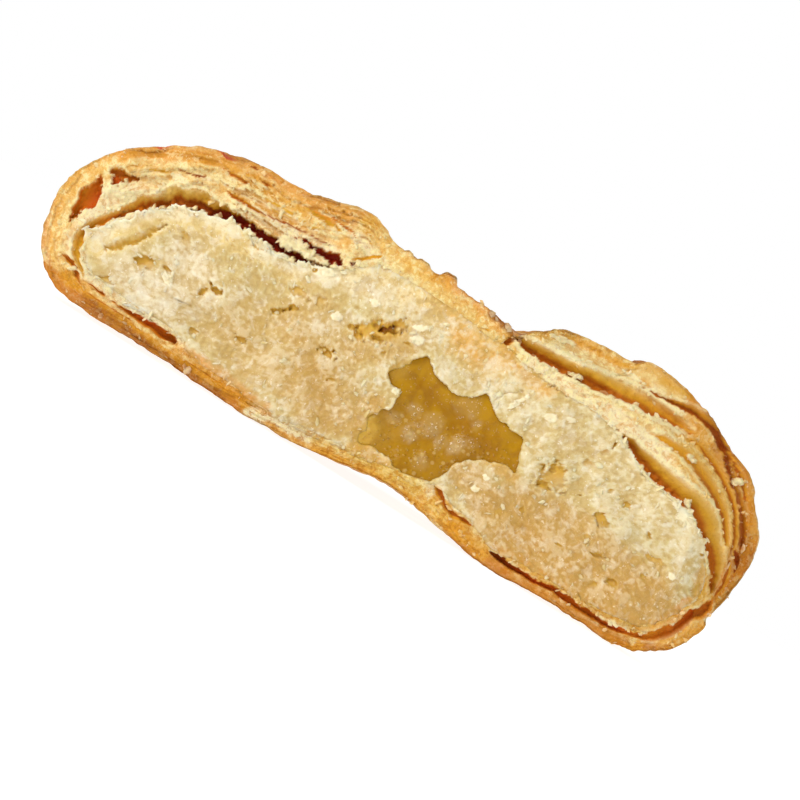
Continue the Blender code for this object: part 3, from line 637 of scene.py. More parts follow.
strokes = [
    # tone, half width, softness, strength, route
    ("orange", 0.8, 0.8, 0.55, [(-38.5, 2.0), (-40.6, 4.5), (-41.7, 8.0), (-41.6, 12.0), (-40.2, 15.0),
     (-38.0, 17.6)]),
    ("gold", 1.3, 0.8, 0.65, [(-37.6, 3.6), (-39.4, 6.4), (-40.6, 9.0), (-40.8, 12.0), (-39.8, 14.4)]),
    ("cream", 0.7, 0.7, 0.8, [(-36.8, 4.8), (-38.0, 6.4), (-38.4, 9.0), (-37.6, 11.6), (-36.8, 12.6)]),
    ("gold", 1.1, 1.0, 0.5, [(-38.3, 16.4), (-35.0, 18.6), (-31.5, 20.7), (-26.0, 22.4), (-19.0, 23.0),
     (-14.0, 24.3)]),
    ("orange", 0.6, 0.8, 0.7, [(-38.5, 17.4), (-35.0, 19.6), (-30.0, 22.2), (-24.0, 23.4), (-17.0, 24.0),
     (-12.0, 25.5)]),
    ("cream", 0.5, 0.6, 0.9, [(-37.4, 13.2), (-36.0, 15.9), (-33.0, 17.6), (-29.0, 18.9), (-26.0, 18.6),
     (-21.0, 18.9)]),
    ("butter", 0.4, 0.5, 0.75, [(-33.5, 18.7), (-29.0, 20.6), (-22.0, 21.8), (-14.0, 21.9), (-10.5, 21.4)]),
    ("honey", 0.16, 0.3, 0.55, [(-34.0, 17.6), (-31.0, 18.9), (-28.0, 19.6), (-24.0, 20.1), (-18.0, 20.6),
     (-12.6, 21.4)]),
    ("honey", 0.16, 0.3, 0.55, [(-32.0, 20.2), (-28.0, 21.2), (-23.0, 22.0), (-17.0, 22.0), (-12.5, 22.2)]),
    ("honey", 0.14, 0.3, 0.6, [(-31.0, 21.3), (-25.0, 22.6), (-19.0, 22.4), (-14.0, 23.6)]),
    ("gold", 0.8, 1.2, 0.4, [(-36.4, 16.4), (-33.0, 17.4), (-29.0, 18.2), (-26.0, 19.0)]),
    ("baked", 0.8, 0.7, 0.95, [(-39.0, 1.8), (-33.0, 1.5), (-26.0, 1.3), (-20.0, 1.0), (-14.0, 0.8)]),
    ("toast", 0.5, 0.6, 0.75, [(-33.0, 1.6), (-28.0, 1.3), (-24.0, 1.0), (-20.0, 1.3), (-16.0, 0.6)]),
    ("honey", 0.4, 0.6, 0.8, [(-37.0, 2.9), (-31.0, 2.7), (-25.0, 2.2), (-19.0, 1.9), (-13.0, 1.5)]),
    ("butter", 0.16, 0.3, 0.5, [(-33.5, 2.9), (-29.0, 2.7), (-25.0, 2.35), (-20.5, 2.1)]),
    ("gold", 0.6, 1.2, 0.8, [(-12.0, 24.8), (-8.0, 23.8), (-2.0, 23.4)]),
    ("orange", 0.7, 0.9, 0.7, [(-2.5, 23.6), (3.0, 23.4), (7.0, 22.7)]),
    ("honey", 0.9, 1.4, 0.35, [(1.0, 22.0), (5.5, 21.8), (7.8, 22.4)]),
    ("umber", 0.2, 0.5, 0.8, [(4.5, 23.8), (6.5, 23.4), (8.2, 23.1), (9.3, 24.0)]),
    ("gold", 1.1, 1.6, 0.85, [(-5.0, 22.0), (2.0, 21.2), (5.5, 20.2), (9.0, 20.9), (13.0, 20.6)]),
    ("butter", 0.9, 1.2, 0.4, [(-4.0, 21.8), (2.0, 21.3), (6.0, 20.6)]),
    ("gold", 0.8, 1.6, 0.45, [(3.0, 19.0), (8.0, 18.3)]),
    ("gold", 0.5, 0.8, 0.8, [(10.5, 25.6), (15.0, 26.6), (19.0, 26.9), (20.5, 26.7)]),
    ("honey", 0.35, 0.5, 0.8, [(13.0, 25.9), (17.0, 26.1), (20.0, 26.3), (23.0, 26.3)]),
    ("butter", 0.35, 0.5, 0.9, [(9.6, 24.2), (12.0, 25.0), (15.0, 25.2), (20.0, 25.4), (25.0, 25.3),
     (28.0, 25.0)]),
    ("beige", 0.8, 0.5, 0.9, [(21.5, 27.3), (24.0, 27.6), (27.0, 27.2)]),
    ("butter", 0.3, 0.4, 0.7, [(21.3, 26.6), (24.0, 26.6), (27.0, 26.5), (29.0, 26.3)]),
    ("baked", 0.5, 0.7, 0.7, [(28.0, 27.3), (30.5, 26.7), (32.5, 25.9)]),
    ("ochre", 0.2, 0.5, 0.6, [(24.0, 27.2), (26.0, 27.3), (27.5, 27.8)]),
    ("beige", 0.4, 0.4, 0.8, [(9.0, 23.8), (10.3, 24.6), (13.0, 26.2)]),
    ("brown", 0.5, 0.5, 0.8, [(30.5, 26.6), (32.5, 25.8), (34.5, 24.6)]),
    ("butter", 0.7, 0.5, 0.9, [(10.0, 21.6), (15.0, 21.8), (20.0, 21.9), (24.0, 22.2), (27.0, 22.9)]),
    ("cream", 0.5, 0.5, 0.9, [(11.0, 21.5), (16.0, 21.5), (22.0, 21.3), (26.0, 21.0), (30.0, 20.3),
     (33.5, 19.4), (36.5, 17.6)]),
    ("gold", 1.6, 1.0, 0.8, [(31.0, 22.0), (34.0, 21.0), (37.0, 18.6), (39.5, 14.6), (40.6, 10.6)]),
    ("honey", 1.3, 0.9, 0.85, [(29.0, 25.0), (33.0, 23.8), (36.5, 21.6), (39.4, 18.0), (41.0, 14.0),
     (41.2, 11.0)]),
    ("gold", 0.4, 0.4, 0.8, [(28.5, 23.1), (31.5, 22.4), (34.5, 21.4), (37.0, 19.4), (39.0, 16.6),
     (40.2, 13.5)]),
    ("beige", 0.8, 0.5, 0.85, [(35.5, 24.3), (37.5, 23.2), (39.3, 21.0)]),
    ("honey", 0.9, 0.5, 0.8, [(39.6, 20.4), (41.2, 17.6), (42.2, 15.4)]),
    ("baked", 1.0, 1.0, 0.7, [(34.0, 24.6), (37.5, 22.4), (39.6, 20.0), (41.0, 17.0), (41.4, 13.0)]),
    ("toast", 0.5, 0.7, 0.6, [(41.0, 17.6), (41.9, 15.5), (42.2, 12.8)]),
    ("baked", 0.9, 0.8, 0.9, [(41.4, 13.5), (41.4, 11.0), (41.2, 9.2)]),
    ("honey", 0.9, 0.5, 0.9, [(41.3, 6.8), (40.6, 5.0), (39.4, 3.2)]),
    ("beige", 0.3, 0.4, 0.7, [(42.3, 13.6), (42.2, 11.5), (41.8, 9.6)]),
    ("beige", 0.3, 0.4, 0.6, [(38.2, 23.2), (40.2, 20.6), (41.6, 18.2)]),
    ("baked", 0.6, 0.5, 0.8, [(39.6, 2.6), (37.5, 1.6), (34.0, 0.8)]),
    ("honey", 0.8, 0.5, 0.85, [(36.5, 1.2), (31.0, 0.9), (26.0, 1.1), (21.0, 0.8)]),
    ("butter", 0.22, 0.3, 0.7, [(36.0, 1.7), (33.0, 1.3), (29.0, 1.2), (25.5, 1.3), (21.0, 1.0)]),
    ("baked", 0.7, 0.6, 0.9, [(20.0, 0.8), (16.0, 1.0), (13.0, 1.8)]),
    ("honey", 0.8, 0.6, 0.9, [(17.0, 1.4), (13.0, 2.2), (10.0, 3.0)]),
    ("gold", 0.7, 0.7, 0.85, [(11.0, 2.2), (7.0, 2.9), (2.0, 2.4), (-4.0, 1.4)]),
    ("honey", 0.3, 0.4, 0.8, [(-10.0, 0.5), (-6.0, 0.7), (-2.0, 1.3), (3.0, 2.2), (9.0, 1.7)]),
    ("orange", 0.5, 0.5, 0.85, [(39.0, 8.2), (38.4, 6.4), (37.2, 4.6), (35.5, 3.3)]),
    ("honey", 0.4, 0.4, 0.85, [(35.5, 3.0), (30.0, 2.6), (25.0, 2.5), (20.5, 2.5), (18.0, 2.4)]),
    ("gold", 0.35, 0.5, 0.75, [(40.2, 10.4), (39.6, 8.9), (39.3, 8.0)]),
    ("orange", 0.3, 0.8, 0.5, [(-22.0, 2.6), (-16.0, 2.3), (-11.0, 1.9)]),
    ("butter", 0.9, 0.9, 0.75, [(-35.6, 7.4), (-34.0, 10.6), (-31.0, 13.6), (-27.0, 15.4), (-21.0, 15.9),
     (-15.0, 16.6)]),
    ("pale", 0.4, 0.5, 0.6, [(-36.0, 8.0), (-34.6, 11.0), (-31.4, 14.2), (-28.0, 16.1), (-24.0, 16.7)]),
    ("pale", 0.5, 0.8, 0.6, [(-21.0, 16.4), (-16.0, 16.6), (-12.0, 18.2), (-9.0, 18.6)]),
    ("butter", 0.8, 1.2, 0.7, [(-12.0, 20.0), (-9.0, 21.2), (-4.0, 21.4)]),
    ("cream", 1.0, 1.5, 0.5, [(-10.0, 19.2), (-5.0, 20.0), (0.0, 19.0)]),
    ("cream", 1.2, 2.0, 0.3, [(9.0, 18.0), (14.0, 17.0), (20.0, 17.0), (26.0, 17.0), (31.0, 14.6)]),
    ("tan", 1.0, 1.4, 0.8, [(10.5, 7.6), (12.5, 7.2), (14.0, 6.0)]),
    ("tan", 0.8, 1.8, 0.3, [(-8.0, 4.0), (-3.0, 5.0), (-1.5, 8.0)]),
    ("tan", 1.0, 2.5, 0.4, [(-24.0, 7.5), (-14.0, 5.0), (-8.0, 7.5)]),
    ("tan", 0.9, 1.6, 0.6, [(-6.0, 13.0), (-3.0, 14.6), (-1.5, 17.0)]),
    ("tan", 1.6, 3.0, 0.55, [(-12.0, 13.0), (-7.0, 9.5), (-4.0, 7.0)]),
    ("tan", 1.8, 3.0, 0.5, [(-18.0, 9.0), (-12.0, 8.0), (-6.0, 5.0)]),
    ("tan", 2.4, 2.6, 0.85, [(17.0, 5.5), (22.0, 6.5), (28.0, 6.0), (34.0, 6.0)]),
    ("ochre", 1.2, 2.6, 0.3, [(20.0, 4.4), (26.0, 4.6), (31.0, 4.6), (35.5, 5.6)]),
    ("baked", 0.5, 0.6, 0.7, [(21.0, 0.7), (26.0, 0.9), (31.0, 0.7), (35.0, 1.0)]),
    ("grey", 1.4, 2.4, 0.7, [(-31.0, 6.0), (-27.0, 6.4), (-24.0, 8.5), (-27.0, 11.0)]),
    ("tan", 0.9, 2.2, 0.5, [(17.0, 8.5), (24.0, 9.5), (31.0, 8.0), (36.0, 8.0)]),
    ("tan", 0.9, 1.6, 0.5, [(25.0, 5.0), (31.0, 5.0), (36.0, 6.0)]),
    ("olive", 0.5, 1.2, 0.5, [(-0.9, 8.5), (-0.9, 5.5), (-0.4, 3.8)]),
    ("olive", 0.6, 1.2, 0.8, [(0.4, 3.6), (3.0, 3.4), (7.0, 3.8)]),
    ("olive", 0.3, 0.8, 0.6, [(12.5, 10.0), (15.5, 10.0)]),
]
patches = [
    # ragged clots of pale dough: x, z, width, height, lean in degrees, how far they stand out
    (-36.3, 13.6, 2.2, 1.3, 35, 0.25), (-37.6, 13.3, 1.6, 0.9, 60, 0.2), (-36.8, 3.75, 0.9, 0.5, 30, 0.2),
    (-18.9, 18.35, 2.0, 1.5, -20, 0.35), (-17.2, 18.7, 2.4, 0.8, -5, 0.2), (-31.9, 18.2, 1.8, 0.7, 10, 0.2),
    (-7.0, 18.0, 1.2, 0.9, 0, 0.25), (-13.0, 18.1, 1.4, 0.7, 20, 0.2), (-9.7, 14.5, 1.2, 0.9, 0, 0.2),
    (12.9, 6.7, 1.0, 0.7, 0, 0.2), (13.3, 8.3, 0.8, 0.6, 0, 0.2), (36.0, 9.9, 0.8, 0.7, 0, 0.2),
    (15.8, 17.5, 1.2, 0.9, 0, 0.2), (0.0, 11.0, 1.0, 0.8, 0, 0.2), (-1.0, 17.0, 1.4, 1.0, 0, 0.25),
    (17.8, 18.5, 1.0, 0.7, 0, 0.2), (-27.5, 8.2, 1.4, 1.2, 0, 0.3), (11.9, 17.0, 0.7, 2.6, -25, 0.25),
    (15.7, 22.8, 1.9, 0.6, 10, 0.3), (33.4, 17.5, 1.2, 0.7, -30, 0.25), (36.6, 22.4, 1.7, 0.8, 32, 0.5),
    (31.0, 21.9, 1.4, 0.5, -15, 0.3), (-1.2, 18.3, 1.6, 0.8, 30, 0.25), (33.3, 16.2, 3.4, 1.2, -25, 0.15),
    (21.0, 26.0, 2.6, 0.5, 0, 0.25), (12.5, 25.4, 3.0, 0.6, 10, 0.3), (2.0, 15.5, 0.8, 0.8, 0, 0.1)
]


def paintFace(xz, look):
    # cream dough round sandy paste, and every stroke over both
    dough = smooth(1.4, -0.4, insideness(xz, fillingLoop))[:, None]
    look["paint"] = linear(tones["sand"]) * (1.0 - dough) + linear(tones["cream"]) * dough
    places = flat3(xz)
    wobble = 0.30 * noiseAt(places, 1.1, 71, layers=3, gain=0.6)
    for tone, halfWidth, softness, strength, route in strokes:
        near, side, _, _ = sideOf(xz, splineThrough(route, 6), halfWidth + softness + 0.5)
        away = np.abs(side) - halfWidth + wobble[near] * min(1.0, 0.4 + halfWidth)
        cover = strength * (1.0 - smooth(0.0, softness, away))
        look["paint"][near] += (linear(tones[tone]) - look["paint"][near]) * cover[:, None]


def addPatches(xz, look):
    wobble = noiseAt(flat3(xz), 0.7, 72, layers=3, gain=0.7)
    for x, z, width, height, lean, stand in patches:
        lean = math.radians(lean)
        dx, dz = xz[:, 0] - x, xz[:, 1] - z
        across = (dx * math.cos(lean) + dz * math.sin(lean)) / (0.5 * width)
        up = (dz * math.cos(lean) - dx * math.sin(lean)) / (0.5 * height)
        cover = 1.0 - smooth(0.75, 1.1, np.hypot(across, up) + 0.35 * wobble)
        look["stand"] = np.maximum(look["stand"], 0.6 * stand * cover)
        look["paint"] += (linear(tones["cream"]) - look["paint"]) * (0.85 * cover)[:, None]
        look["cut"] *= 1.0 - 0.9 * cover
        look["deep"] *= 1.0 - cover
        look["crest"] = np.maximum(look["crest"], cover)


def newLook(count):
    look = {key: np.zeros(count) for key in ("cut", "deep", "crest", "stand")}
    look["paint"] = np.zeros((count, 3))
    return look


crustBuild = {
    "around": 1088, "faceRings": 46, "skinRings": 100, "nearRings": 9, "underFilling": 0.7,
    # of how many places of a ring one is used: (up to which ring, step) and (at which depth, step)
    "skinSteps": ((9, 1), (58, 2), (84, 4), (100, 8)), "cavityGap": 0.3,
    "cavitySteps": ((37.2, 8), (35.5, 8), (32.0, 8), (27.0, 8), (21.0, 8), (15.0, 4), (10.0, 4), (8.0, 2),
                    (7.0, 1)),
    "leaf": 0.55, "leafStep": 0.30, "grain": 0.06,
    "blister": 0.36, "blisterSize": 7.0, "wrinkle": 0.14,
    "flakeStep": 0.12, "flakeSize": 4.2, "skinGrain": 0.04,
}
skinTones = {
    "side": (0.90, 0.70, 0.34), "crown": (0.83, 0.57, 0.22), "toasted": (0.62, 0.34, 0.10),
    "pale": (0.93, 0.78, 0.46), "base": (0.72, 0.45, 0.16),
}
# bits of skin that stand out of the outline, or are missing there: x, half width, height
rimFlakes = [(-1.5, 0.9, 0.8), (-4.7, 0.8, 0.4), (-6.6, 0.5, 0.3), (8.1, 0.6, -0.5), (-28.0, 1.4, -0.5)]
dye = [(29.0, 1.6, 12), (35.4, 1.1, 12)]  # rings of red dots on the top: radius, dot radius, how many dots


def dyeAt(x, depth, z):
    # 1 at the middle of a dot, 0 at its edge; none where the skin has flaked off at the right of the break
    best = np.full(len(x), -1.0)
    for radius, dot, count in dye:
        for turn in range(count // 2 + 1):
            angle = 2.0 * math.pi * turn / count
            middle = radius * math.cos(angle), radius * math.sin(angle)
            if middle[0] < 20.0 or middle[1] > 8.0:
                best = np.maximum(best, 1.0 - np.hypot(x - middle[0], depth - middle[1]) / dot)
    return np.where(z > cake["rim"] + 3.0, best, -1.0)


def insetLoop(loop, distance):
    ahead = np.roll(loop, -1, axis=0) - np.roll(loop, 1, axis=0)
    ahead = (ahead + np.roll(ahead, 2, axis=0) + np.roll(ahead, -2, axis=0)) / 3.0
    inward = np.column_stack([ahead[:, 1], -ahead[:, 0]]) / np.linalg.norm(ahead, axis=1)[:, None]
    return loop + inward * np.reshape(distance, (-1, 1))


def leafShare(xz):
    # where the torn dough shows its leaves: the upper left, the right end and, less, the base
    x, z = xz[:, 0], xz[:, 1]
    left = smooth(-39.5, -37.0, x) * (1.0 - smooth(-12.0, -8.5, x)) * smooth(12.0, 15.0, z)
    right = 0.45 * smooth(9.0, 12.0, x) * smooth(8.0, 14.0, z)
    base = 0.45 * (1.0 - smooth(3.0, 5.0, z))
    rim = 0.5 * (1.0 - smooth(-40.0, -37.5, x))
    return np.max([np.full(len(x), 0.12), left, right, base, rim], axis=0)


def crustFace(xz, layer, along):
    # depth and looks of the torn layers; layer is the distance in from the outline, along runs round it
    look = newLook(len(xz))
    dyeSpot = xz
    xz = asSeen(xz)
    paintFace(xz, look)
    places = flat3(xz)
    leaves = leafShare(xz)
    ragged = noiseAt(places, 1.2, 12, layers=3, gain=0.55)
    wave = noiseAt(np.column_stack([along / 9.0, np.zeros(len(xz)), layer / 3.0]), 1.0, 13)
    sheet = (layer + 0.16 * ragged) / crustBuild["leaf"] + 0.9 * wave
    leaf = np.floor(sheet)
    part = sheet - leaf
    own = noiseAt(np.column_stack([leaf, along / 5.5, np.zeros(len(xz))]), 1.0, 14, layers=2)
    tint = noiseAt(np.column_stack([leaf, along / 8.0, np.ones(len(xz)) * 3.0]), 1.0, 16)
    seam = (1.0 - smooth(0.0, 0.22, part)) * smooth(-0.3, 0.3, noiseAt(places, 3.0, 18))
    step = crustBuild["leafStep"] * own + 0.16 * (part - 0.5) - 0.12 * seam
    thin = np.column_stack([(layer + 0.08 * ragged) / 0.2, along / 4.0, np.ones(len(xz))])
    fineLeaf = noiseAt(thin, 1.0, 19)
    grain = noiseAt(places, 0.7, 15, layers=3, gain=0.7)
    carveGaps(xz, look)
    addPatches(xz, look)
    # the smooth beige flap at the upper right, and the browned edge of the skin beyond the notch
    flap = smooth(20.0, 22.0, xz[:, 0]) * smooth(25.9, 26.5, xz[:, 1] + 0.3 * ragged)
    flap *= 1.0 - smooth(31.0, 33.0, xz[:, 0])
    look["deep"] = np.maximum(look["deep"], 0.55 * flap)
    browned = np.exp(-(layer / 0.22) ** 2) * smooth(8.0, 10.0, xz[:, 0]) * smooth(9.0, 13.0, xz[:, 1])
    browned *= smooth(-0.5, 0.3, noiseAt(places, 2.2, 17, layers=2))
    look["paint"] += (linear(tones["umber"]) - look["paint"]) * (0.85 * browned)[:, None]
    quiet = 1.0 - 0.9 * look["deep"]
    swell, lump, crumb, fine = crumbRelief(xz)
    crumbly = fillingBuild["swell"] * swell + fillingBuild["lump"] * lump + fillingBuild["grain"] * crumb
    relief = broadRelief(xz) - quiet * leaves * (step + 0.05 * fineLeaf)
    relief -= quiet * (crustBuild["grain"] * grain + (1.0 - leaves) * (crumbly + fillingBuild["fine"] * fine))
    relief -= look["stand"] + look["crest"] * (0.10 + 0.12 * ragged)
    look["depth"] = relief + look["cut"]
    look["lamina"] = leaves * quiet * (0.75 * tint + 0.45 * fineLeaf - 0.9 * seam)
    look["skinward"] = np.exp(-layer / 0.28)
    look["crumbs"] = 1.5 * look["crest"] + quiet * (0.12 + 0.5 * (1.0 - leaves))
    look["crumbs"] *= smooth(0.5, 1.0, xz[:, 1])
    look["dye"] = dyeAt(dyeSpot[:, 0], relief, dyeSpot[:, 1]) - layer / 0.5
    return look


def makeCrust():
    setup = crustBuild
    around = setup["around"]
    edge = halfLoops(crustForm["edge"], crustForm["tip"], around)
    edge = insetLoop(edge, 0.10 * noiseAt(flat3(edge), 1.6, 33, layers=3, gain=0.6))
    edge[:, 1] = np.maximum(edge[:, 1], 0.0)
    plain = plainLoop(crustForm, around)
    perimeter = np.concatenate([[0.0], np.cumsum(np.linalg.norm(np.diff(edge, axis=0), axis=1))])

    # the skin, from the break back to the rim
    front = crustFace(edge, np.zeros(around), perimeter)["depth"]
    startTurn = np.arcsin(np.clip(front / crustForm["depth"], -0.2, 0.9))
    count = setup["skinRings"]
    shares = (np.arange(count + 1) / count) ** 1.35
    # what lies further back looks smaller, so the torn rim is widened there to show the photo's outline
    torn = 0.11 * noiseAt(flat3(edge), 1.1, 34, layers=3, gain=0.7)
    torn *= smooth(-0.2, 0.9, noiseAt(flat3(edge), 6.0, 35))
    for x, halfWidth, height in rimFlakes:
        torn += height * np.exp(-(np.abs(edge[:, 0] - x) / halfWidth) ** 5) * (edge[:, 1] > cake["rim"])
    larger = 1.0 + (front / eyeDistance)[:, None]
    seen = (edge - photo["middle"]) * larger + photo["middle"]
    flakes = insetLoop(seen, -torn) - seen
    widening = seen - bodyRing(crustForm, edge, plain, crustForm["depth"] * np.sin(startTurn))[:, [0, 2]]
    rings = []
    for share in shares[:-1]:
        depth = crustForm["depth"] * np.sin(startTurn + (math.pi / 2.0 - startTurn) * share)
        ring = bodyRing(crustForm, edge, plain, depth)
        behind = (depth - crustForm["depth"] * np.sin(startTurn))[:, None]
        ring[:, [0, 2]] += widening * np.exp(-(behind / 7.0) ** 2) + flakes * np.exp(-(behind / 1.2) ** 2)
        ring[:, 2] = np.maximum(ring[:, 2], 0.0)
        rings.append(ring)
    skin = np.stack(rings)
    away = skin[:, :, 1] - front[None, :]
    normal = np.cross(np.roll(skin, -1, axis=1) - np.roll(skin, 1, axis=1), np.gradient(skin, axis=0))
    normal /= np.maximum(1e-9, np.linalg.norm(normal, axis=2))[:, :, None]
    if (normal[0, :, 2] * (edge[:, 1] - cake["rim"])).sum() < 0.0:
        normal = -normal
    flatPlaces = skin.reshape(-1, 3)
    lift = skinLift(flatPlaces).reshape(count, around)
    above = smooth(0.0, 2.5, skin[:, :, 2])
    grow = smooth(-0.2, 2.5, away)
    skin = skin + normal * (lift * above * grow)[:, :, None]
    skin[:, :, 2] = np.maximum(skin[:, :, 2], 0.0)

    # the torn layers, from the outline in under the filling's edge
    fillingEdge = halfLoops(fillingForm["edge"], fillingForm["tip"], around)
    inner = calmLoop(insetLoop(fillingEdge, setup["underFilling"]), 3)
    keys = ("paint", "deep", "crest", "lamina", "skinward", "crumbs", "dye")
    faceRings, values = [], {key: [] for key in keys + ("skin",)}
    hold = setup["faceRings"]
    outer = skin[0][:, [0, 2]]
    for index in range(hold, 0, -1):
        share = index / hold
        xz = outer + (inner - outer) * share
        layer = np.linalg.norm(xz - outer, axis=1)
        look = crustFace(xz, layer, perimeter)
        gone = np.maximum(1.0, np.linalg.norm(inner - outer, axis=1))
        tucked = smooth(1.0 - 0.6 / gone, 1.0, share) * (1.0 - look["deep"])
        rounded = 0.30 * np.exp(-layer / 0.2)
        faceRings.append(np.column_stack([xz[:, 0], look["depth"] + 1.2 * tucked + rounded, xz[:, 1]]))
        for key in keys:
            values[key].append(look[key])
        values["skin"].append(np.zeros(around))

    # the hidden inside, round the filling
    cavityEdge = insetLoop(fillingEdge, -setup["cavityGap"])
    cavityPlain = insetLoop(plainLoop(fillingForm, around), -setup["cavityGap"])
    middleX, middleZ = fillingForm["middle"]
    cavity = [np.array([[middleX, fillingForm["depth"] + setup["cavityGap"], middleZ]])]
    for depth, step in setup["cavitySteps"]:
        cavity.append(bodyRing(fillingForm, cavityEdge, cavityPlain, depth)[::step])

    skinRings, skinValues = [], {key: [] for key in values}
    coatPaint = paintSkin(skin.reshape(-1, 3)).reshape(count, around, 3)
    for index in range(count):
        step = next(step for end, step in setup["skinSteps"] if index < end)
        nearBreak = index < setup["nearRings"]
        ring = skin[index][::step]
        skinRings.append(ring)
        edgeBlend = smooth(0.0, 0.6, away[index])[::step]
        face = newLook(len(ring))
        coat = coatPaint[index][::step]
        if nearBreak:
            paintFace(ring[:, [0, 2]], face)
            coat = face["paint"] + (coat - face["paint"]) * edgeBlend[:, None]
        skinValues["paint"].append(coat)
        skinValues["skin"].append(edgeBlend)
        skinValues["skinward"].append(1.0 - edgeBlend)
        skinValues["dye"].append(dyeAt(ring[:, 0], ring[:, 1], ring[:, 2]))
        for key in ("deep", "crest", "lamina", "crumbs"):
            skinValues[key].append(np.zeros(len(ring)))
    skinRings.append(np.array([[0.0, crustForm["depth"], cake["rim"]]]))
    for key in values:
        wide = key == "paint"
        plainValue = -1.0 if key == "dye" else 0.0
        unseen = linear(tones["cream"]) if wide else np.array([plainValue])
        hidden = [np.tile(unseen, (len(ring), 1)) if wide else np.tile(unseen, len(ring)) for ring in cavity]
        last = [coatPaint[-1][:1] if wide else np.full(1, 1.0 if key == "skin" else plainValue)]
        values[key] = hidden + values[key] + skinValues[key] + last
    return ringBody("bakedCrust", cavity + faceRings + skinRings, values)


def skinLift(places):
    # blisters, wrinkles and the steps of skin that has flaked off
    setup = crustBuild
    blister = np.maximum(noiseAt(places, setup["blisterSize"], 21, layers=2), 0.0) ** 1.3
    stretch = places * (1.0, 1.0, 1.6) + 1.2 * noiseAt(places, 4.0, 23)[:, None]
    wrinkle = 1.0 - np.abs(noiseAt(stretch, 2.6, 24, layers=2))
    warped = places * (1.0, 1.0, 1.3) + 0.8 * noiseAt(places, 1.6, 27)[:, None]
    nearest, second, own = cellsAt(warped, setup["flakeSize"], 25)
    flake = own * smooth(0.0, 0.12, second - nearest)
    grain = noiseAt(places, 0.9, 28, layers=2)
    lift = setup["blister"] * blister + setup["wrinkle"] * wrinkle ** 2
    return lift + setup["flakeStep"] * flake + setup["skinGrain"] * grain


def paintSkin(places):
    # golden on top with browner blisters, browner under the base and round the foot
    x, depth, z = places.T
    patch = noiseAt(places, 9.0, 51, layers=3)
    speck = noiseAt(places, 1.4, 55, layers=2)
    raised = noiseAt(places, crustBuild["blisterSize"], 21, layers=2)
    right = smooth(20.0, 40.0, x) * smooth(8.0, 20.0, z) * (1.0 - smooth(4.0, 14.0, depth))
    brink = smooth(8.0, 11.0, x) * smooth(9.0, 13.0, z) * (1.0 - smooth(0.5, 7.0, depth))
    coats = (
        (skinTones["crown"], smooth(15.0, 23.0, z + 1.5 * patch)),
        (skinTones["toasted"], 0.80 * smooth(0.1, 1.1, 1.1 * raised + 0.3 * patch + 0.3 * speck)),
        (skinTones["pale"], 0.5 * smooth(0.2, 0.9, -patch + 0.3 * speck)),
        (skinTones["base"], 0.75 * (1.0 - smooth(0.2, 5.0, z + 1.2 * patch))),
        (tones["baked"], 0.7 * right),
        (tones["umber"], 0.6 * brink * smooth(-0.6, 0.6, patch + speck)))
    colour = np.tile(linear(skinTones["side"]), (len(places), 1))
    for tone, share in coats:
        colour += (linear(tone) - colour) * share[:, None]
    return colour


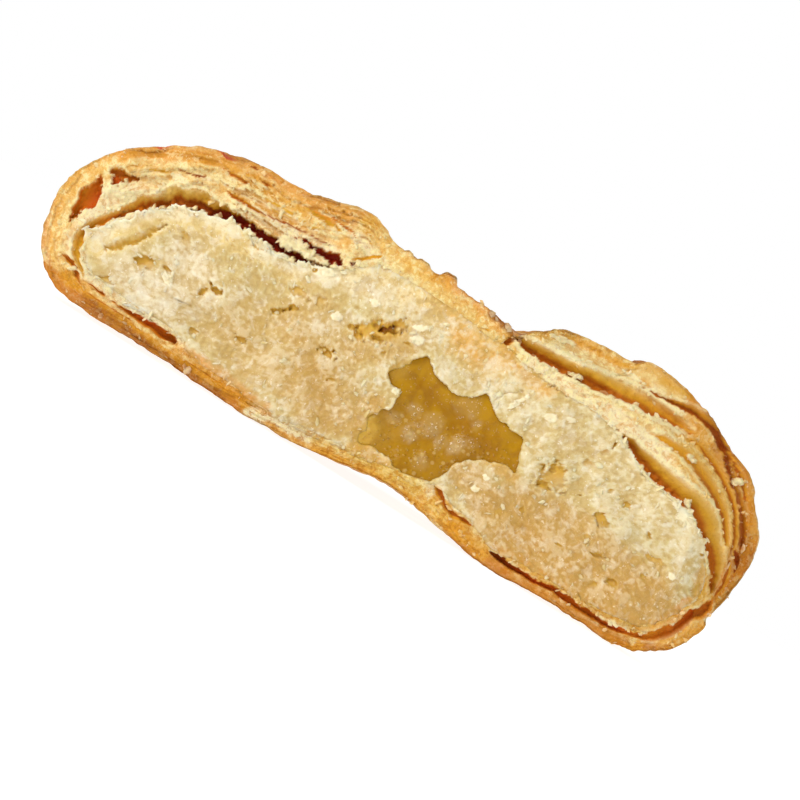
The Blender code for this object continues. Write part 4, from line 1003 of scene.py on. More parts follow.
airHoles = [
    # x, z, width, height, lean in degrees, depth, darkness of the ochre tint and painted shade
    (-30.5, 8.5, 1.9, 1.1, 15, 0.9, 0.6), (-28.2, 13.1, 1.2, 1.2, 0, 0.4, 0.4),
    (-27.9, 9.1, 1.2, 0.6, 0, 0.6, 0.5), (-22.0, 10.1, 1.7, 0.9, 0, 1.2, 0.8),
    (-23.4, 9.2, 1.3, 0.5, 60, 0.8, 0.7), (-33.1, 4.7, 1.7, 0.7, 0, 0.5, 0.5),
    (-22.0, 5.0, 1.2, 0.8, -20, 0.5, 0.5), (-17.2, 6.8, 1.5, 0.8, -5, 0.7, 0.6),
    (-15.4, 11.6, 1.2, 0.7, 45, 0.8, 0.7), (-14.0, 12.9, 0.9, 0.6, 20, 0.8, 0.7),
    (-14.7, 12.3, 0.9, 0.3, 42, 0.6, 0.7), (-14.3, 14.6, 2.6, 1.1, 5, 0.5, 0.4),
    (-11.8, 15.0, 1.6, 1.0, 0, 0.4, 0.35), (-8.4, 10.5, 1.9, 1.0, -5, 1.0, 0.7),
    (-3.3, 17.4, 1.3, 1.2, 0, 0.8, 0.6), (-4.8, 15.5, 5.6, 2.8, 30, 0.8, 0.5),
    (-4.1, 16.2, 2.3, 1.0, 30, 1.8, 1.0), (-5.4, 15.9, 0.9, 1.1, 0, 1.0, 0.7),
    (-4.6, 14.9, 2.4, 1.2, 18, 0.9, 0.65), (-6.5, 13.9, 1.6, 1.2, 0, 0.8, 0.6),
    (-7.5, 14.5, 0.9, 0.8, 0, 0.6, 0.6), (-6.5, 8.4, 0.8, 0.5, 0, 0.4, 0.5),
    (-6.9, 8.15, 0.3, 0.2, 0, 0.5, 0.8), (-1.6, 16.1, 0.8, 0.4, 0, 0.5, 0.6),
    (-3.3, 13.9, 0.6, 0.3, 50, 0.4, 0.6), (19.5, 12.2, 3.2, 3.5, -25, 0.8, 0.5),
    (18.6, 12.9, 1.0, 1.4, 0, 0.5, 0.6), (19.2, 10.8, 1.6, 0.8, 0, 0.5, 0.6),
    (23.0, 12.1, 0.6, 0.35, 0, 0.6, 0.7), (26.3, 11.0, 1.6, 1.0, -30, 0.7, 0.65),
    (25.4, 14.2, 0.6, 0.5, 0, 0.3, 0.5), (27.9, 13.8, 1.0, 0.7, 0, 0.5, 0.6),
    (27.6, 7.4, 2.3, 0.5, 15, 0.7, 0.7), (26.2, 8.7, 1.0, 0.6, 0, 0.4, 0.4),
    (23.9, 6.3, 1.0, 0.2, 10, 0.4, 0.7), (18.4, 7.5, 0.5, 0.7, 20, 0.5, 0.7),
    (31.6, 12.4, 0.9, 0.4, -40, 0.6, 0.7), (33.9, 10.4, 2.6, 1.0, 0, 0.4, 0.45),
    (33.3, 8.4, 1.0, 0.7, 0, 0.5, 0.6), (30.7, 5.8, 1.5, 0.7, 15, 0.9, 0.8),
    (29.3, 4.7, 0.9, 0.8, 0, 0.4, 0.5), (21.9, 15.4, 1.5, 0.8, 5, 0.4, 0.35),
    (22.9, 17.6, 1.2, 0.7, 30, 0.5, 0.4), (23.25, 18.6, 0.25, 0.8, 0, 0.8, 0.9),
    (27.7, 17.7, 1.0, 0.5, 0, 0.6, 0.6), (37.5, 13.6, 0.5, 0.3, 0, 0.5, 0.7),
    (38.2, 13.2, 0.8, 0.8, 0, 0.3, 0.4), (32.4, 14.5, 0.4, 0.2, 0, 0.4, 0.7),
    (38.9, 10.0, 0.9, 1.6, 0, 0.4, 0.4), (16.6, 5.8, 1.0, 0.9, 0, 0.3, 0.35),
    (19.0, 5.9, 1.2, 0.6, 0, 0.25, 0.25), (-16.2, 17.6, 0.4, 0.3, 0, 0.5, 0.8),
    (-14.4, 17.5, 0.5, 0.4, 0, 0.5, 0.9), (-28.6, 15.75, 0.35, 0.25, 0, 0.6, 0.95)
]
grooves = {
    "fold": {
        "depth": 0.7, "dark": 0.6,
        "route": [(-34.8, 7.5, 0.6), (-33.9, 8.6, 1.0), (-32.6, 10.3, 1.0), (-31.5, 11.8, 0.7),
                  (-30.5, 13.2, 0.3)]},
    "upperLine": {
        "depth": 0.3, "dark": 0.5,
        "route": [(-22.2, 16.4, 0.08), (-21.0, 16.4, 0.14), (-19.8, 16.5, 0.08)]},
    "upperLineTwo": {
        "depth": 0.25, "dark": 0.4,
        "route": [(-25.0, 15.2, 0.08), (-22.5, 15.2, 0.14), (-20.0, 15.3, 0.08)]},
    "crackRight": {
        "depth": 0.7, "dark": 0.6,
        "route": [(12.6, 20.8, 0.1), (15.5, 20.7, 0.2), (17.6, 20.9, 0.16), (20.6, 20.8, 0.32),
                  (22.3, 20.4, 0.2)]},
    "lobeEdge": {
        "depth": 0.3, "dark": 0.15,
        "route": [(9.7, 14.6, 0.3), (9.9, 16.2, 0.3), (10.6, 17.6, 0.3), (11.6, 18.4, 0.2)]},
}
fillingBuild = {
    "around": 1120, "faceRings": 64, "swell": 0.14, "lump": 0.08, "grain": 0.08, "fine": 0.05,
    "hollow": 2.6, "holeDepth": 0.6,
}


def softSide(xz):
    # 1 where the sticky centre melts into the paste without an edge
    x, z = xz[:, 0], xz[:, 1]
    left = np.exp(-(((x + 1.2) / 2.2) ** 2 + ((z - 5.8) / 1.8) ** 2) ** 2)
    above = np.exp(-(((x + 0.9) / 1.1) ** 2 + ((z - 13.3) / 1.3) ** 2) ** 2)
    return np.maximum(left, 0.7 * above)


def pasteRelief(xz):
    # the broken surface of the paste without its holes
    swell, lump, grain, fine = crumbRelief(xz)
    setup = fillingBuild
    bumps = setup["swell"] * swell + setup["lump"] * lump + setup["grain"] * grain + setup["fine"] * fine
    return broadRelief(xz) - bumps


def fillingFace(xz):
    look = newLook(len(xz))
    xz = asSeen(xz)
    paintFace(xz, look)
    places = flat3(xz)
    doughLine = np.interp(xz[:, 0], [-37.0, -31.0, -24.0, -14.0, -10.0], [11.0, 13.6, 14.9, 16.2, 19.0])
    dough = np.where(xz[:, 0] < -10.0, smooth(-1.0, 1.5, xz[:, 1] - doughLine), 0.0)
    dough = np.maximum(dough, 1.0 - smooth(-33.5, -30.5, xz[:, 0] - 0.35 * (xz[:, 1] - 8.0)))
    crumbly = 1.0 - 0.65 * dough
    setup = fillingBuild
    swell, lump, grain, fine = crumbRelief(xz)
    crumbs = setup["lump"] * lump + setup["grain"] * grain + setup["fine"] * fine
    bumps = setup["swell"] * swell + crumbly * crumbs
    along = np.column_stack([xz[:, 0] / 5.0, np.zeros(len(xz)), (xz[:, 1] - 0.25 * xz[:, 0]) / 0.35])
    stripes = noiseAt(along, 1.0, 66)
    relief = broadRelief(xz) - bumps + 0.06 * dough * stripes
    dark = np.zeros(len(xz))
    wobble = noiseAt(places, 0.8, 67, layers=3, gain=0.7)
    for x, z, width, height, lean, hole, darkness in airHoles:
        lean = math.radians(lean)
        dx, dz = xz[:, 0] - x, xz[:, 1] - z
        across = (dx * math.cos(lean) + dz * math.sin(lean)) / (0.5 * width)
        up = (dz * math.cos(lean) - dx * math.sin(lean)) / (0.5 * height)
        away = np.sqrt(across ** 2 + up ** 2) + 0.50 * wobble * min(1.0, 2.0 / width)
        cover = 1.0 - smooth(0.70, 1.12, away)
        # painted shade: each hole is darker on its upper left, where its wall lies in shade
        shaded = 0.75 + 0.25 * np.clip(up - across, -1.0, 1.0)
        relief += setup["holeDepth"] * hole * cover * (0.7 + 0.3 * shaded)
        dark = np.maximum(dark, darkness * cover * shaded)
        rim = np.exp(-((away - 1.22) / 0.16) ** 2)
        look["crest"] = np.maximum(look["crest"], 0.35 * rim * (hole > 0.45))
    for groove in grooves.values():
        near, side, width, past = sideOf(xz, splineThrough(groove["route"], 6), 1.5)
        side = side + 0.22 * wobble[near]
        cover = 1.0 - smooth(0.3, 0.65, np.abs(side) / np.maximum(0.05, width[:, 0]))
        cover *= 1.0 - smooth(0.0, 0.4, past)
        # painted shade: each groove is darker on one side
        cover *= 0.65 + 0.35 * np.clip(-side / 0.3, -1.0, 1.0)
        relief[near] += groove["depth"] * cover
        dark[near] = np.maximum(dark[near], groove["dark"] * cover)
    addPatches(xz, look)
    dark *= 1.0 - look["crest"] * (look["stand"] > 0.0)
    relief -= look["stand"]
    inside = insideness(xz, amberLoop) + 0.12 * noiseAt(places, 0.8, 68, layers=2, gain=0.8)
    soft = softSide(xz)
    hollow = smooth(-0.05, 0.22, inside)
    lip = np.exp(-((inside + 0.35) / 0.3) ** 2) * (1.0 - soft)
    lip *= smooth(-0.2, 0.8, noiseAt(places, 1.6, 69, layers=2))
    relief = relief * (1.0 - hollow) + setup["hollow"] * hollow
    relief += 0.15 * smooth(-1.5, 0.0, inside) * soft - 0.10 * lip
    look["crest"] = np.maximum(look["crest"], 0.45 * lip) * (1.0 - hollow)
    look["damp"] = smooth(-0.25 - 2.0 * soft, 0.15, inside + 0.5 * wobble * soft)
    # how high the crumb relief stands, for the painted highlight on its crowns and the painted shade in its
    # hollows
    look["crown"] = np.clip(0.5 + crumbly * (0.35 * lump + 0.3 * swell + 0.4 * fine + 0.6 * grain), 0.0, 1.0)
    look["crumbs"] = 2.4 * look["crest"] + 0.35 * crumbly * (1.0 - look["damp"]) * (1.0 - dark)
    look["depth"] = relief
    look["dark"] = dark
    return look


def makeFilling():
    setup = fillingBuild
    around, hold = setup["around"], setup["faceRings"]
    edge = halfLoops(fillingForm["edge"], fillingForm["tip"], around)
    plain = plainLoop(fillingForm, around)
    ragged = 0.18 * noiseAt(flat3(edge), 0.8, 81, layers=3, gain=0.7)
    teeth = 0.65 * np.maximum(0.0, noiseAt(flat3(edge), 0.95, 82, layers=3, gain=0.6) - 0.2)
    besideGap = np.maximum(smooth(6.5, 8.0, edge[:, 1]) * (1.0 - smooth(-12.0, -10.0, edge[:, 0])),
                           smooth(22.0, 24.0, edge[:, 0]) * smooth(6.0, 8.0, edge[:, 1]))
    edge = insetLoop(edge, -(ragged + teeth * besideGap))
    calm = calmLoop(edge, 14)
    seamTop = np.linspace(-25.0, 29.0, around // 2 + 1)
    seamLine = np.concatenate([seamTop, seamTop[-2:0:-1]])
    seam = np.column_stack([seamLine, np.interp(seamLine, [-25.0, -12.0, 29.0], [6.9, 9.6, 10.6])])
    keys = ("paint", "dark", "damp", "crown", "crest", "crumbs")
    rings, values = [], {key: [] for key in keys + ("wall",)}
    for index in range(hold + 1):
        share = index / hold
        xz = seam + (calm + (edge - calm) * smooth(0.72, 1.0, share) - seam) * share
        look = fillingFace(xz)
        border = np.linalg.norm(edge - xz, axis=1)
        edgeCrest = 0.8 * besideGap * np.exp(-(border / 0.45) ** 2)
        look["crest"] = np.maximum(look["crest"], edgeCrest)
        look["crumbs"] += 2.4 * edgeCrest
        # painted shade: honey where the paste's edge bends away into the crack behind it, except beside gaps
        paintedEdgeShade = (0.75 * (1.0 - besideGap) * np.exp(-(border / 0.25) ** 2))[:, None]
        look["paint"] += (linear(tones["honey"]) - look["paint"]) * paintedEdgeShade
        look["crest"] *= 1.0 - paintedEdgeShade[:, 0]
        raised = 0.05 * np.exp(-border / 0.2)
        raised -= 0.20 * besideGap * (edge[:, 0] < 0.0) * np.exp(-(border / 0.5) ** 2)
        rings.append(np.column_stack([xz[:, 0], look["depth"] + raised, xz[:, 1]]))
        for key in keys:
            values[key].append(look[key])
        values["wall"].append(np.zeros(around))
    front = rings[-1][:, 1]
    backs = [(front + behind, 1 if behind < 3.0 else 2) for behind in (0.25, 0.7, 1.4, 2.4, 3.8, 5.5)]
    for depth in (10.0, 15.0, 21.0, 27.0, 32.0, 35.0, 36.8):
        backs.append((np.full(around, depth), 4 if depth < 20.0 else 8))
    for depth, step in backs:
        rings.append(bodyRing(fillingForm, edge, plain, depth)[::step])
        # how far back the side lies, for the painted shade that darkens it there
        wall = smooth(0.0, 4.5, depth - front)[::step]
        for key in keys:
            values[key].append(values["paint"][hold][::step] if key == "paint" else np.zeros(len(wall)))
        values["wall"].append(wall)
    rings.append(np.array([[fillingForm["middle"][0], fillingForm["depth"], fillingForm["middle"][1]]]))
    for key in values:
        values[key].append(values[key][-1][:1])
    return ringBody("paleFilling", rings, values, seamFirst=True)


coreBuild = {"around": 440, "faceRings": 56, "recess": 0.75}
foam = [
    # clouds of tiny bubbles in the amber: x, z, radius, strength
    (3.5, 8.1, 1.3, 1.0), (5.3, 9.9, 1.5, 0.8), (2.8, 10.3, 1.0, 0.7), (8.8, 9.6, 1.2, 0.9),
    (6.4, 6.1, 1.0, 0.6), (9.3, 12.6, 0.7, 0.5), (10.0, 10.8, 0.7, 0.6), (7.6, 13.7, 1.4, 0.5),
    (1.4, 8.7, 0.9, 0.5), (7.1, 8.8, 0.9, 0.7)]
# the valley of the syrup, painted darker as shade
amberShade = [(2.2, 13.4), (4.6, 12.2), (7.9, 12.0), (9.8, 11.5), (12.4, 11.3)]


def coreFace(xz):
    # syrup with its surface a little behind the paste's, and clouds of bubbles in it
    xz = asSeen(xz)
    places = flat3(xz)
    soft = softSide(xz)
    z = xz[:, 1] + 0.6 * noiseAt(places, 3.0, 91) - 0.10 * (xz[:, 0] - 6.0)
    bubbly = 1.0 - smooth(10.0, 12.2, z)
    frayed = xz + 0.35 * np.column_stack([noiseAt(places, 1.2, seed, layers=2) for seed in (96, 97)])
    fleshy = np.zeros(len(xz))
    for middleX, middleZ, radius, strength in foam:
        away = np.hypot(frayed[:, 0] - middleX, frayed[:, 1] - middleZ) / radius
        fleshy = np.maximum(fleshy, strength * (1.0 - smooth(0.4, 1.25, away)))
    nearest, _, own = cellsAt(places, 0.7, 92)
    bubble = np.sqrt(np.maximum(0.0, 0.2 - nearest ** 2)) * (own > 0.1) * bubbly
    fine = noiseAt(places, 0.5, 93, layers=2)
    inside = insideness(xz, amberLoop)
    border = smooth(0.0, 2.0, inside)
    depth = broadRelief(xz) + coreBuild["recess"] * (0.55 + 0.45 * border) - 0.12 * fleshy
    depth += 0.8 * smooth(-0.1, -0.7, inside) + 0.12 * noiseAt(places, 2.4, 94, layers=2)
    depth -= (0.3 + 0.7 * fleshy) * (0.20 * bubble + 0.05 * fine)
    frayed += 0.5 * noiseAt(places, 1.2, 95, layers=3)[:, None]
    melt = np.exp(-((frayed[:, 0] + 1.0) / 2.0) ** 2 - ((frayed[:, 1] - 5.9) / 2.4) ** 2)
    melt = np.maximum(0.6 * soft, np.clip(1.5 * melt, 0.0, 1.0))
    sunk = 0.7 * smooth(0.1, -0.9, inside + 0.4 * noiseAt(places, 1.0, 98, layers=2))
    depth += (pasteRelief(xz) + 0.1 + 0.25 * np.maximum(inside, 0.0) + sunk - depth) * soft
    # painted shade along that valley
    shade = np.zeros(len(xz))
    near, side, _, _ = sideOf(frayed, splineThrough(amberShade, 6), 2.0)
    shade[near] = 1.0 - smooth(0.2, 1.6, np.abs(side))
    return depth, bubbly, fleshy, bubble * 2.2, melt, shade


def makeCore():
    around, hold = coreBuild["around"], coreBuild["faceRings"]
    edge = insetLoop(halfLoops(coreForm["edge"], coreForm["tip"], around), -0.75)
    plain = plainLoop(coreForm, around)
    over = np.linspace((1.5, 8.6), (13.5, 11.9), around // 2 + 1)
    seam = np.vstack([over, over[-2:0:-1]])
    keys = ("bubbly", "fleshy", "bubble", "soft", "shade")
    rings, values = [], {key: [] for key in keys}
    for index in range(hold + 1):
        xz = seam + (edge - seam) * (index / hold)
        depth, *parts = coreFace(xz)
        rings.append(np.column_stack([xz[:, 0], depth, xz[:, 1]]))
        for key, part in zip(keys, parts):
            values[key].append(part)
    for depth, step in ((6.5, 2), (8.5, 2), (10.2, 4), (11.4, 4)):
        rings.append(bodyRing(coreForm, edge, plain, depth)[::step])
        for key in keys:
            values[key].append(np.zeros(around // step))
    rings.append(np.array([[coreForm["middle"][0], coreForm["depth"], coreForm["middle"][1]]]))
    for key in keys:
        values[key].append(np.zeros(1))
    return ringBody("amberCore", rings, values, seamFirst=True)


crumbBuild = {
    "fillingCrumbs": {"perSquareMm": 1.0, "small": 0.10, "large": 0.42, "seed": 4},
    "crustCrumbs": {"perSquareMm": 1.0, "small": 0.10, "large": 0.46, "seed": 9},
}
crumbShape = {
    "rarity": 2.5,  # the higher, the fewer large ones there are
    "flattest": (0.5, 0.2, 0.3), "fullest": (1.7, 0.5, 0.9), "tilt": 0.6,
    "dents": 4500.0, "dentDepth": 0.00045,  # noise scale and strength, in metres
}


def crumbTree(name):
    # scatters small irregular lumps over a face, where the named share is high
    tree = bpy.data.node_groups.new(name, "GeometryNodeTree")
    face = tree.interface
    sockets = {
        "Geometry": "Geometry", "Density": "Float", "Smallest": "Float", "Largest": "Float", "Seed": "Int",
        "Share": "Float", "Material": "Material"}
    for label, kind in sockets.items():
        face.new_socket(label, in_out="INPUT", socket_type="NodeSocket" + kind)
    face.new_socket("Geometry", in_out="OUTPUT", socket_type="NodeSocketGeometry")

    def add(kind, inputs, output=0, **settings):
        node = tree.nodes.new(kind)
        for key, value in settings.items():
            setattr(node, key, value)
        for key, value in inputs.items():
            if isinstance(value, bpy.types.NodeSocket):
                tree.links.new(value, node.inputs[key])
            else:
                node.inputs[key].default_value = value
        return node.outputs[output]

    shape = crumbShape
    tilt = shape["tilt"]
    start = tree.nodes.new("NodeGroupInput").outputs
    density = add("ShaderNodeMath", {0: start["Density"], 1: start["Share"]}, operation="MULTIPLY")
    points = add("GeometryNodeDistributePointsOnFaces", {
        "Mesh": start["Geometry"], "Density": density, "Seed": start["Seed"]}, "Points")
    lump = add("GeometryNodeMeshIcoSphere", {"Radius": 1.0, "Subdivisions": 1}, "Mesh")
    draw = add("FunctionNodeRandomValue", {"Min": 0.0, "Max": 1.0, "Seed": 3}, 1, data_type="FLOAT")
    rare = add("ShaderNodeMath", {0: draw, 1: shape["rarity"]}, operation="POWER")
    size = add("ShaderNodeMapRange", {
        "Value": rare, "To Min": start["Smallest"], "To Max": start["Largest"]}, "Result")
    squash = add("FunctionNodeRandomValue", {0: shape["flattest"], 1: shape["fullest"], "Seed": 5},
                 data_type="FLOAT_VECTOR")
    scale = add("ShaderNodeVectorMath", {0: squash, "Scale": size}, "Vector", operation="SCALE")
    turn = add("FunctionNodeRandomValue", {0: (-tilt, 0.0, -tilt), 1: (tilt, 6.28, tilt), "Seed": 7},
               data_type="FLOAT_VECTOR")
    placed = add("GeometryNodeInstanceOnPoints", {
        "Points": points, "Instance": lump, "Rotation": turn, "Scale": scale}, "Instances")
    real = add("GeometryNodeRealizeInstances", {"Geometry": placed}, "Geometry")
    place = add("GeometryNodeInputPosition", {})
    rough = add("ShaderNodeTexNoise", {"Vector": place, "Scale": shape["dents"], "Detail": 1.0}, "Color")
    centred = add("ShaderNodeVectorMath", {0: rough, 1: (0.5, 0.5, 0.5)}, "Vector", operation="SUBTRACT")
    offset = add("ShaderNodeVectorMath", {0: centred, "Scale": shape["dentDepth"]}, "Vector",
                 operation="SCALE")
    moved = add("GeometryNodeSetPosition", {"Geometry": real, "Offset": offset}, "Geometry")
    dressed = add("GeometryNodeSetMaterial", {"Geometry": moved, "Material": start["Material"]}, "Geometry")
    end = tree.nodes.new("NodeGroupOutput")
    tree.links.new(dressed, end.inputs["Geometry"])
    return tree


def scatterCrumbs(name, piece, material):
    setup = crumbBuild[name]
    source = bpy.data.objects.new(name + "Source", piece.data)
    bpy.context.scene.collection.objects.link(source)
    modifier = source.modifiers.new("crumbs", "NODES")
    modifier.node_group = crumbTree(name)
    inputs = {item.name: item.identifier for item in modifier.node_group.interface.items_tree
              if item.in_out == "INPUT"}
    modifier[inputs["Density"]] = setup["perSquareMm"] / millimetre ** 2
    modifier[inputs["Smallest"]] = setup["small"] * millimetre
    modifier[inputs["Largest"]] = setup["large"] * millimetre
    modifier[inputs["Seed"]] = setup["seed"]
    modifier[inputs["Share"] + "_use_attribute"] = True
    modifier[inputs["Share"] + "_attribute_name"] = "crumbs"
    modifier[inputs["Material"]] = material
    view = bpy.context.evaluated_depsgraph_get()
    mesh = bpy.data.meshes.new_from_object(source.evaluated_get(view))
    mesh.name = name
    bpy.data.objects.remove(source)
    crumbs = bpy.data.objects.new(name, mesh)
    bpy.context.scene.collection.objects.link(crumbs)
    print(name, len(mesh.polygons), "faces")
    return crumbs


class Sock:
    # a socket that can be used in sums

    def __init__(self, tree, socket):
        self.tree, self.socket = tree, socket

    def maths(self, kind, other, turned=False):
        values = (other, self) if turned else (self, other)
        return self.tree.node("ShaderNodeMath", {"operation": kind}, dict(enumerate(values)))

    def __add__(self, other):
        return self.maths("ADD", other)

    def __sub__(self, other):
        return self.maths("SUBTRACT", other)

    def __rsub__(self, other):
        return self.maths("SUBTRACT", other, turned=True)

    def __mul__(self, other):
        return self.maths("MULTIPLY", other)

    __radd__ = __add__
    __rmul__ = __mul__


class Tree:
    # builds the nodes of one material

    def __init__(self, name):
        self.material = bpy.data.materials.new(name)
        self.material.use_nodes = True
        self.nodes = self.material.node_tree.nodes
        self.links = self.material.node_tree.links
        self.shader = self.nodes["Principled BSDF"]

    def put(self, socket, value):
        if isinstance(value, Sock):
            self.links.new(value.socket, socket)
        elif socket.type == "RGBA" and len(value) == 3:
            socket.default_value = (*value, 1.0)
        else:
            socket.default_value = value

    def node(self, kind, settings=None, inputs=None, output=0):
        made = self.nodes.new(kind)
        for key, value in (settings or {}).items():
            setattr(made, key, value)
        for key, value in (inputs or {}).items():
            self.put(made.inputs[key], value)
        return Sock(self, made.outputs[output])

    def value(self, name):
        return self.node("ShaderNodeAttribute", {"attribute_name": name}, output="Fac")

    def colour(self, name):
        return self.node("ShaderNodeAttribute", {"attribute_name": name}, output="Color")

    def place(self):
        return self.node("ShaderNodeTexCoord", output="Object")

    def vector(self, kind, first, second):
        return self.node("ShaderNodeVectorMath", {"operation": kind}, {0: first, 1: second})

    def channel(self, colour, name="Red"):
        return self.node("ShaderNodeSeparateColor", {}, {"Color": colour}, output=name)

    def noise(self, size, detail=3.0, roughness=0.55, distortion=0.0):
        return self.node("ShaderNodeTexNoise", {}, {
            "Vector": self.place(), "Scale": 1.0 / (size * millimetre), "Detail": detail,
            "Roughness": roughness, "Distortion": distortion})

    def cells(self, size, stretch, warp):
        # a value of its own for each of many irregular plates, and the distance to the plate's border
        place = self.place()
        bend = self.node("ShaderNodeTexNoise", {}, {
            "Vector": place, "Scale": 2.0 / (size * millimetre), "Detail": 4.0}, output="Color")
        bend = self.vector("SUBTRACT", bend, (0.5, 0.5, 0.5))
        bend = self.vector("MULTIPLY", bend, (warp * millimetre,) * 3)
        place = self.vector("MULTIPLY", self.vector("ADD", place, bend), stretch)
        inputs = {"Vector": place, "Scale": 1.0 / (size * millimetre)}
        own = self.channel(self.node("ShaderNodeTexVoronoi", {}, inputs, output="Color"))
        border = self.node("ShaderNodeTexVoronoi", {"feature": "DISTANCE_TO_EDGE"}, inputs, "Distance")
        return own, border

    def beads(self, size):
        # distance from the middle of each of many small beads, and a value of its own for each
        inputs = {"Vector": self.place(), "Scale": 1.0 / (size * millimetre)}
        away = self.node("ShaderNodeTexVoronoi", {}, inputs, output="Distance")
        own = self.channel(self.node("ShaderNodeTexVoronoi", {}, inputs, output="Color"))
        return away, own

    def mix(self, share, first, second, blend="MIX"):
        return self.node("ShaderNodeMix", {"data_type": "RGBA", "blend_type": blend},
                         {0: share, 6: first, 7: second}, output=2)

    def coats(self, colour, finish, **shares):
        # lays tones of a finish over a colour one after another, each by its own share
        for name, share in shares.items():
            colour = self.mix(share, colour, linear(finish[name]))
        return colour

    def between(self, value, low, high, toLow=0.0, toHigh=1.0):
        return self.node("ShaderNodeMapRange", {"interpolation_type": "SMOOTHSTEP"}, {
            "Value": value, "From Min": low, "From Max": high, "To Min": toLow, "To Max": toHigh})

    def bump(self, height, strength, distance, under=None):
        inputs = {"Height": height, "Strength": strength, "Distance": distance * millimetre}
        if under is not None:
            inputs["Normal"] = under
        return self.node("ShaderNodeBump", {}, inputs)

    def finish(self, colour, roughness, normal=None, **settings):
        self.put(self.shader.inputs["Base Color"], colour)
        self.put(self.shader.inputs["Roughness"], roughness)
        if normal is not None:
            self.put(self.shader.inputs["Normal"], normal)
        for key, value in settings.items():
            self.put(self.shader.inputs[key], value)
        return self.material


doughFinish = {
    # the torn layers
    "tornLeaf": (0.97, 0.90, 0.66), "seam": (0.80, 0.54, 0.12), "blotch": (0.88, 0.64, 0.22),
    "clot": (1.0, 0.93, 0.68), "richPit": (0.62, 0.35, 0.06), "footPit": (0.66, 0.38, 0.07),
    "pit": (0.84, 0.57, 0.14), "outerEdge": (0.76, 0.48, 0.13), "crest": (0.97, 0.91, 0.70),
    "foot": (4.0, 2.5),  # heights in millimetres: the browner foot begins at one and is full at the other
    # the skin
    "darkSkin": (0.62, 0.35, 0.09), "lightSkin": (0.96, 0.82, 0.50), "underPlate": (0.93, 0.76, 0.42),
    "underChip": (0.98, 0.88, 0.62), "crack": (0.52, 0.27, 0.06), "dye": (0.76, 0.13, 0.09),
    # both
    "brownGrain": (0.70, 0.43, 0.11), "paleGrain": (0.99, 0.94, 0.74),
}


def crustMaterial():
    tree = Tree("bakedDough")
    skin, deep, crest = tree.value("skin"), tree.value("deep"), tree.value("crest")
    lamina, skinward, dyed = tree.value("lamina"), tree.value("skinward"), tree.value("dye")
    fine = tree.noise(0.30, detail=4.0, roughness=0.7)
    clot = tree.noise(0.75, detail=4.0, roughness=0.65, distortion=0.5)
    blotch = tree.noise(2.2)
    torn = (1.0 - deep) * (1.0 - skin)
    colour = tree.colour("paint")
    rich = tree.between(tree.channel(colour, "Blue"), 0.14, 0.05)
    height = tree.node("ShaderNodeSeparateXYZ", {}, {"Vector": tree.place()}, output="Z")
    low = tree.between(height, *(level * millimetre for level in doughFinish["foot"]))
    pale = (1.0 - 0.7 * rich) * (1.0 - 0.3 * low)
    # thin leaves: paler torn edges, and browner seams between them
    colour = tree.coats(
        colour, doughFinish,
        tornLeaf=tree.between(lamina, 0.1, 0.8) * 0.45 * pale,
        seam=tree.between(lamina, -0.15, -0.9) * 0.75,
        blotch=tree.between(blotch, 0.50, 0.62) * 0.20 * torn,
        clot=tree.between(clot, 0.54, 0.59) * 0.62 * torn * pale,
        richPit=tree.between(clot, 0.42, 0.36) * 0.35 * torn * rich,
        footPit=tree.between(clot, 0.49, 0.42) * 0.45 * torn * low,
        pit=tree.between(clot, 0.47, 0.42) * 0.42 * torn,
        outerEdge=skinward * 0.35 * (1.0 - deep),
        crest=tree.between(crest, 0.15, 0.75) * 0.75 * pale)
    # the skin: fine cracks run through it, and thin plates have flaked off, one under another
    worn = tree.noise(11.0, detail=4.0, roughness=0.6)
    crackle = tree.noise(1.7, detail=5.0, roughness=0.7)
    plate, plateRim = tree.cells(4.6, (1.0, 1.0, 1.7), 3.2)
    chip, chipRim = tree.cells(1.8, (1.0, 1.0, 1.5), 1.4)
    lost = tree.between(plate + (worn - 0.5) * 2.0, 0.84, 0.86) * skin
    lostTwo = tree.between(chip + (worn - 0.5) * 1.2, 0.66, 0.68) * lost
    cracks = tree.between(chipRim, 0.07, 0.01) * tree.between(crackle, 0.45, 0.60) * skin
    rims = tree.between(plateRim, 0.05, 0.01) * lost
    faded = (1.0 - lost) * tree.between(crackle, 0.62, 0.42, 0.35, 0.85)
    colour = tree.coats(
        colour, doughFinish,
        darkSkin=tree.between(crackle, 0.50, 0.75) * 0.40 * skin,
        lightSkin=tree.between(crackle, 0.46, 0.30) * 0.35 * skin,
        underPlate=lost * 0.50,
        underChip=lostTwo * 0.45,
        crack=(cracks + rims) * 0.45,
        dye=tree.between(dyed + (crackle - 0.5) * 1.6, -0.1, 0.5) * faded,
        brownGrain=tree.between(fine, 0.52, 0.68) * (0.30 + 0.10 * skin),
        paleGrain=tree.between(fine, 0.46, 0.30) * 0.35 * torn * pale)
    blistered = tree.bump(crackle * skin, 0.6, 0.4)
    flaked = tree.bump(lost + lostTwo * 0.6 + cracks * 0.5, -1.0, 0.16, under=blistered)
    clotted = tree.bump(clot * (1.0 - skin), 0.6, 0.30, under=flaked)
    bump = tree.bump(fine, 0.8, 0.14, under=clotted)
    return tree.finish(colour, tree.between(fine, 0.3, 0.7, 0.60, 0.42), bump, **{
        "Specular IOR Level": 0.15, "Subsurface Weight": 0.20, "Subsurface Radius": (1.0, 0.7, 0.3),
        "Subsurface Scale": 0.0012})


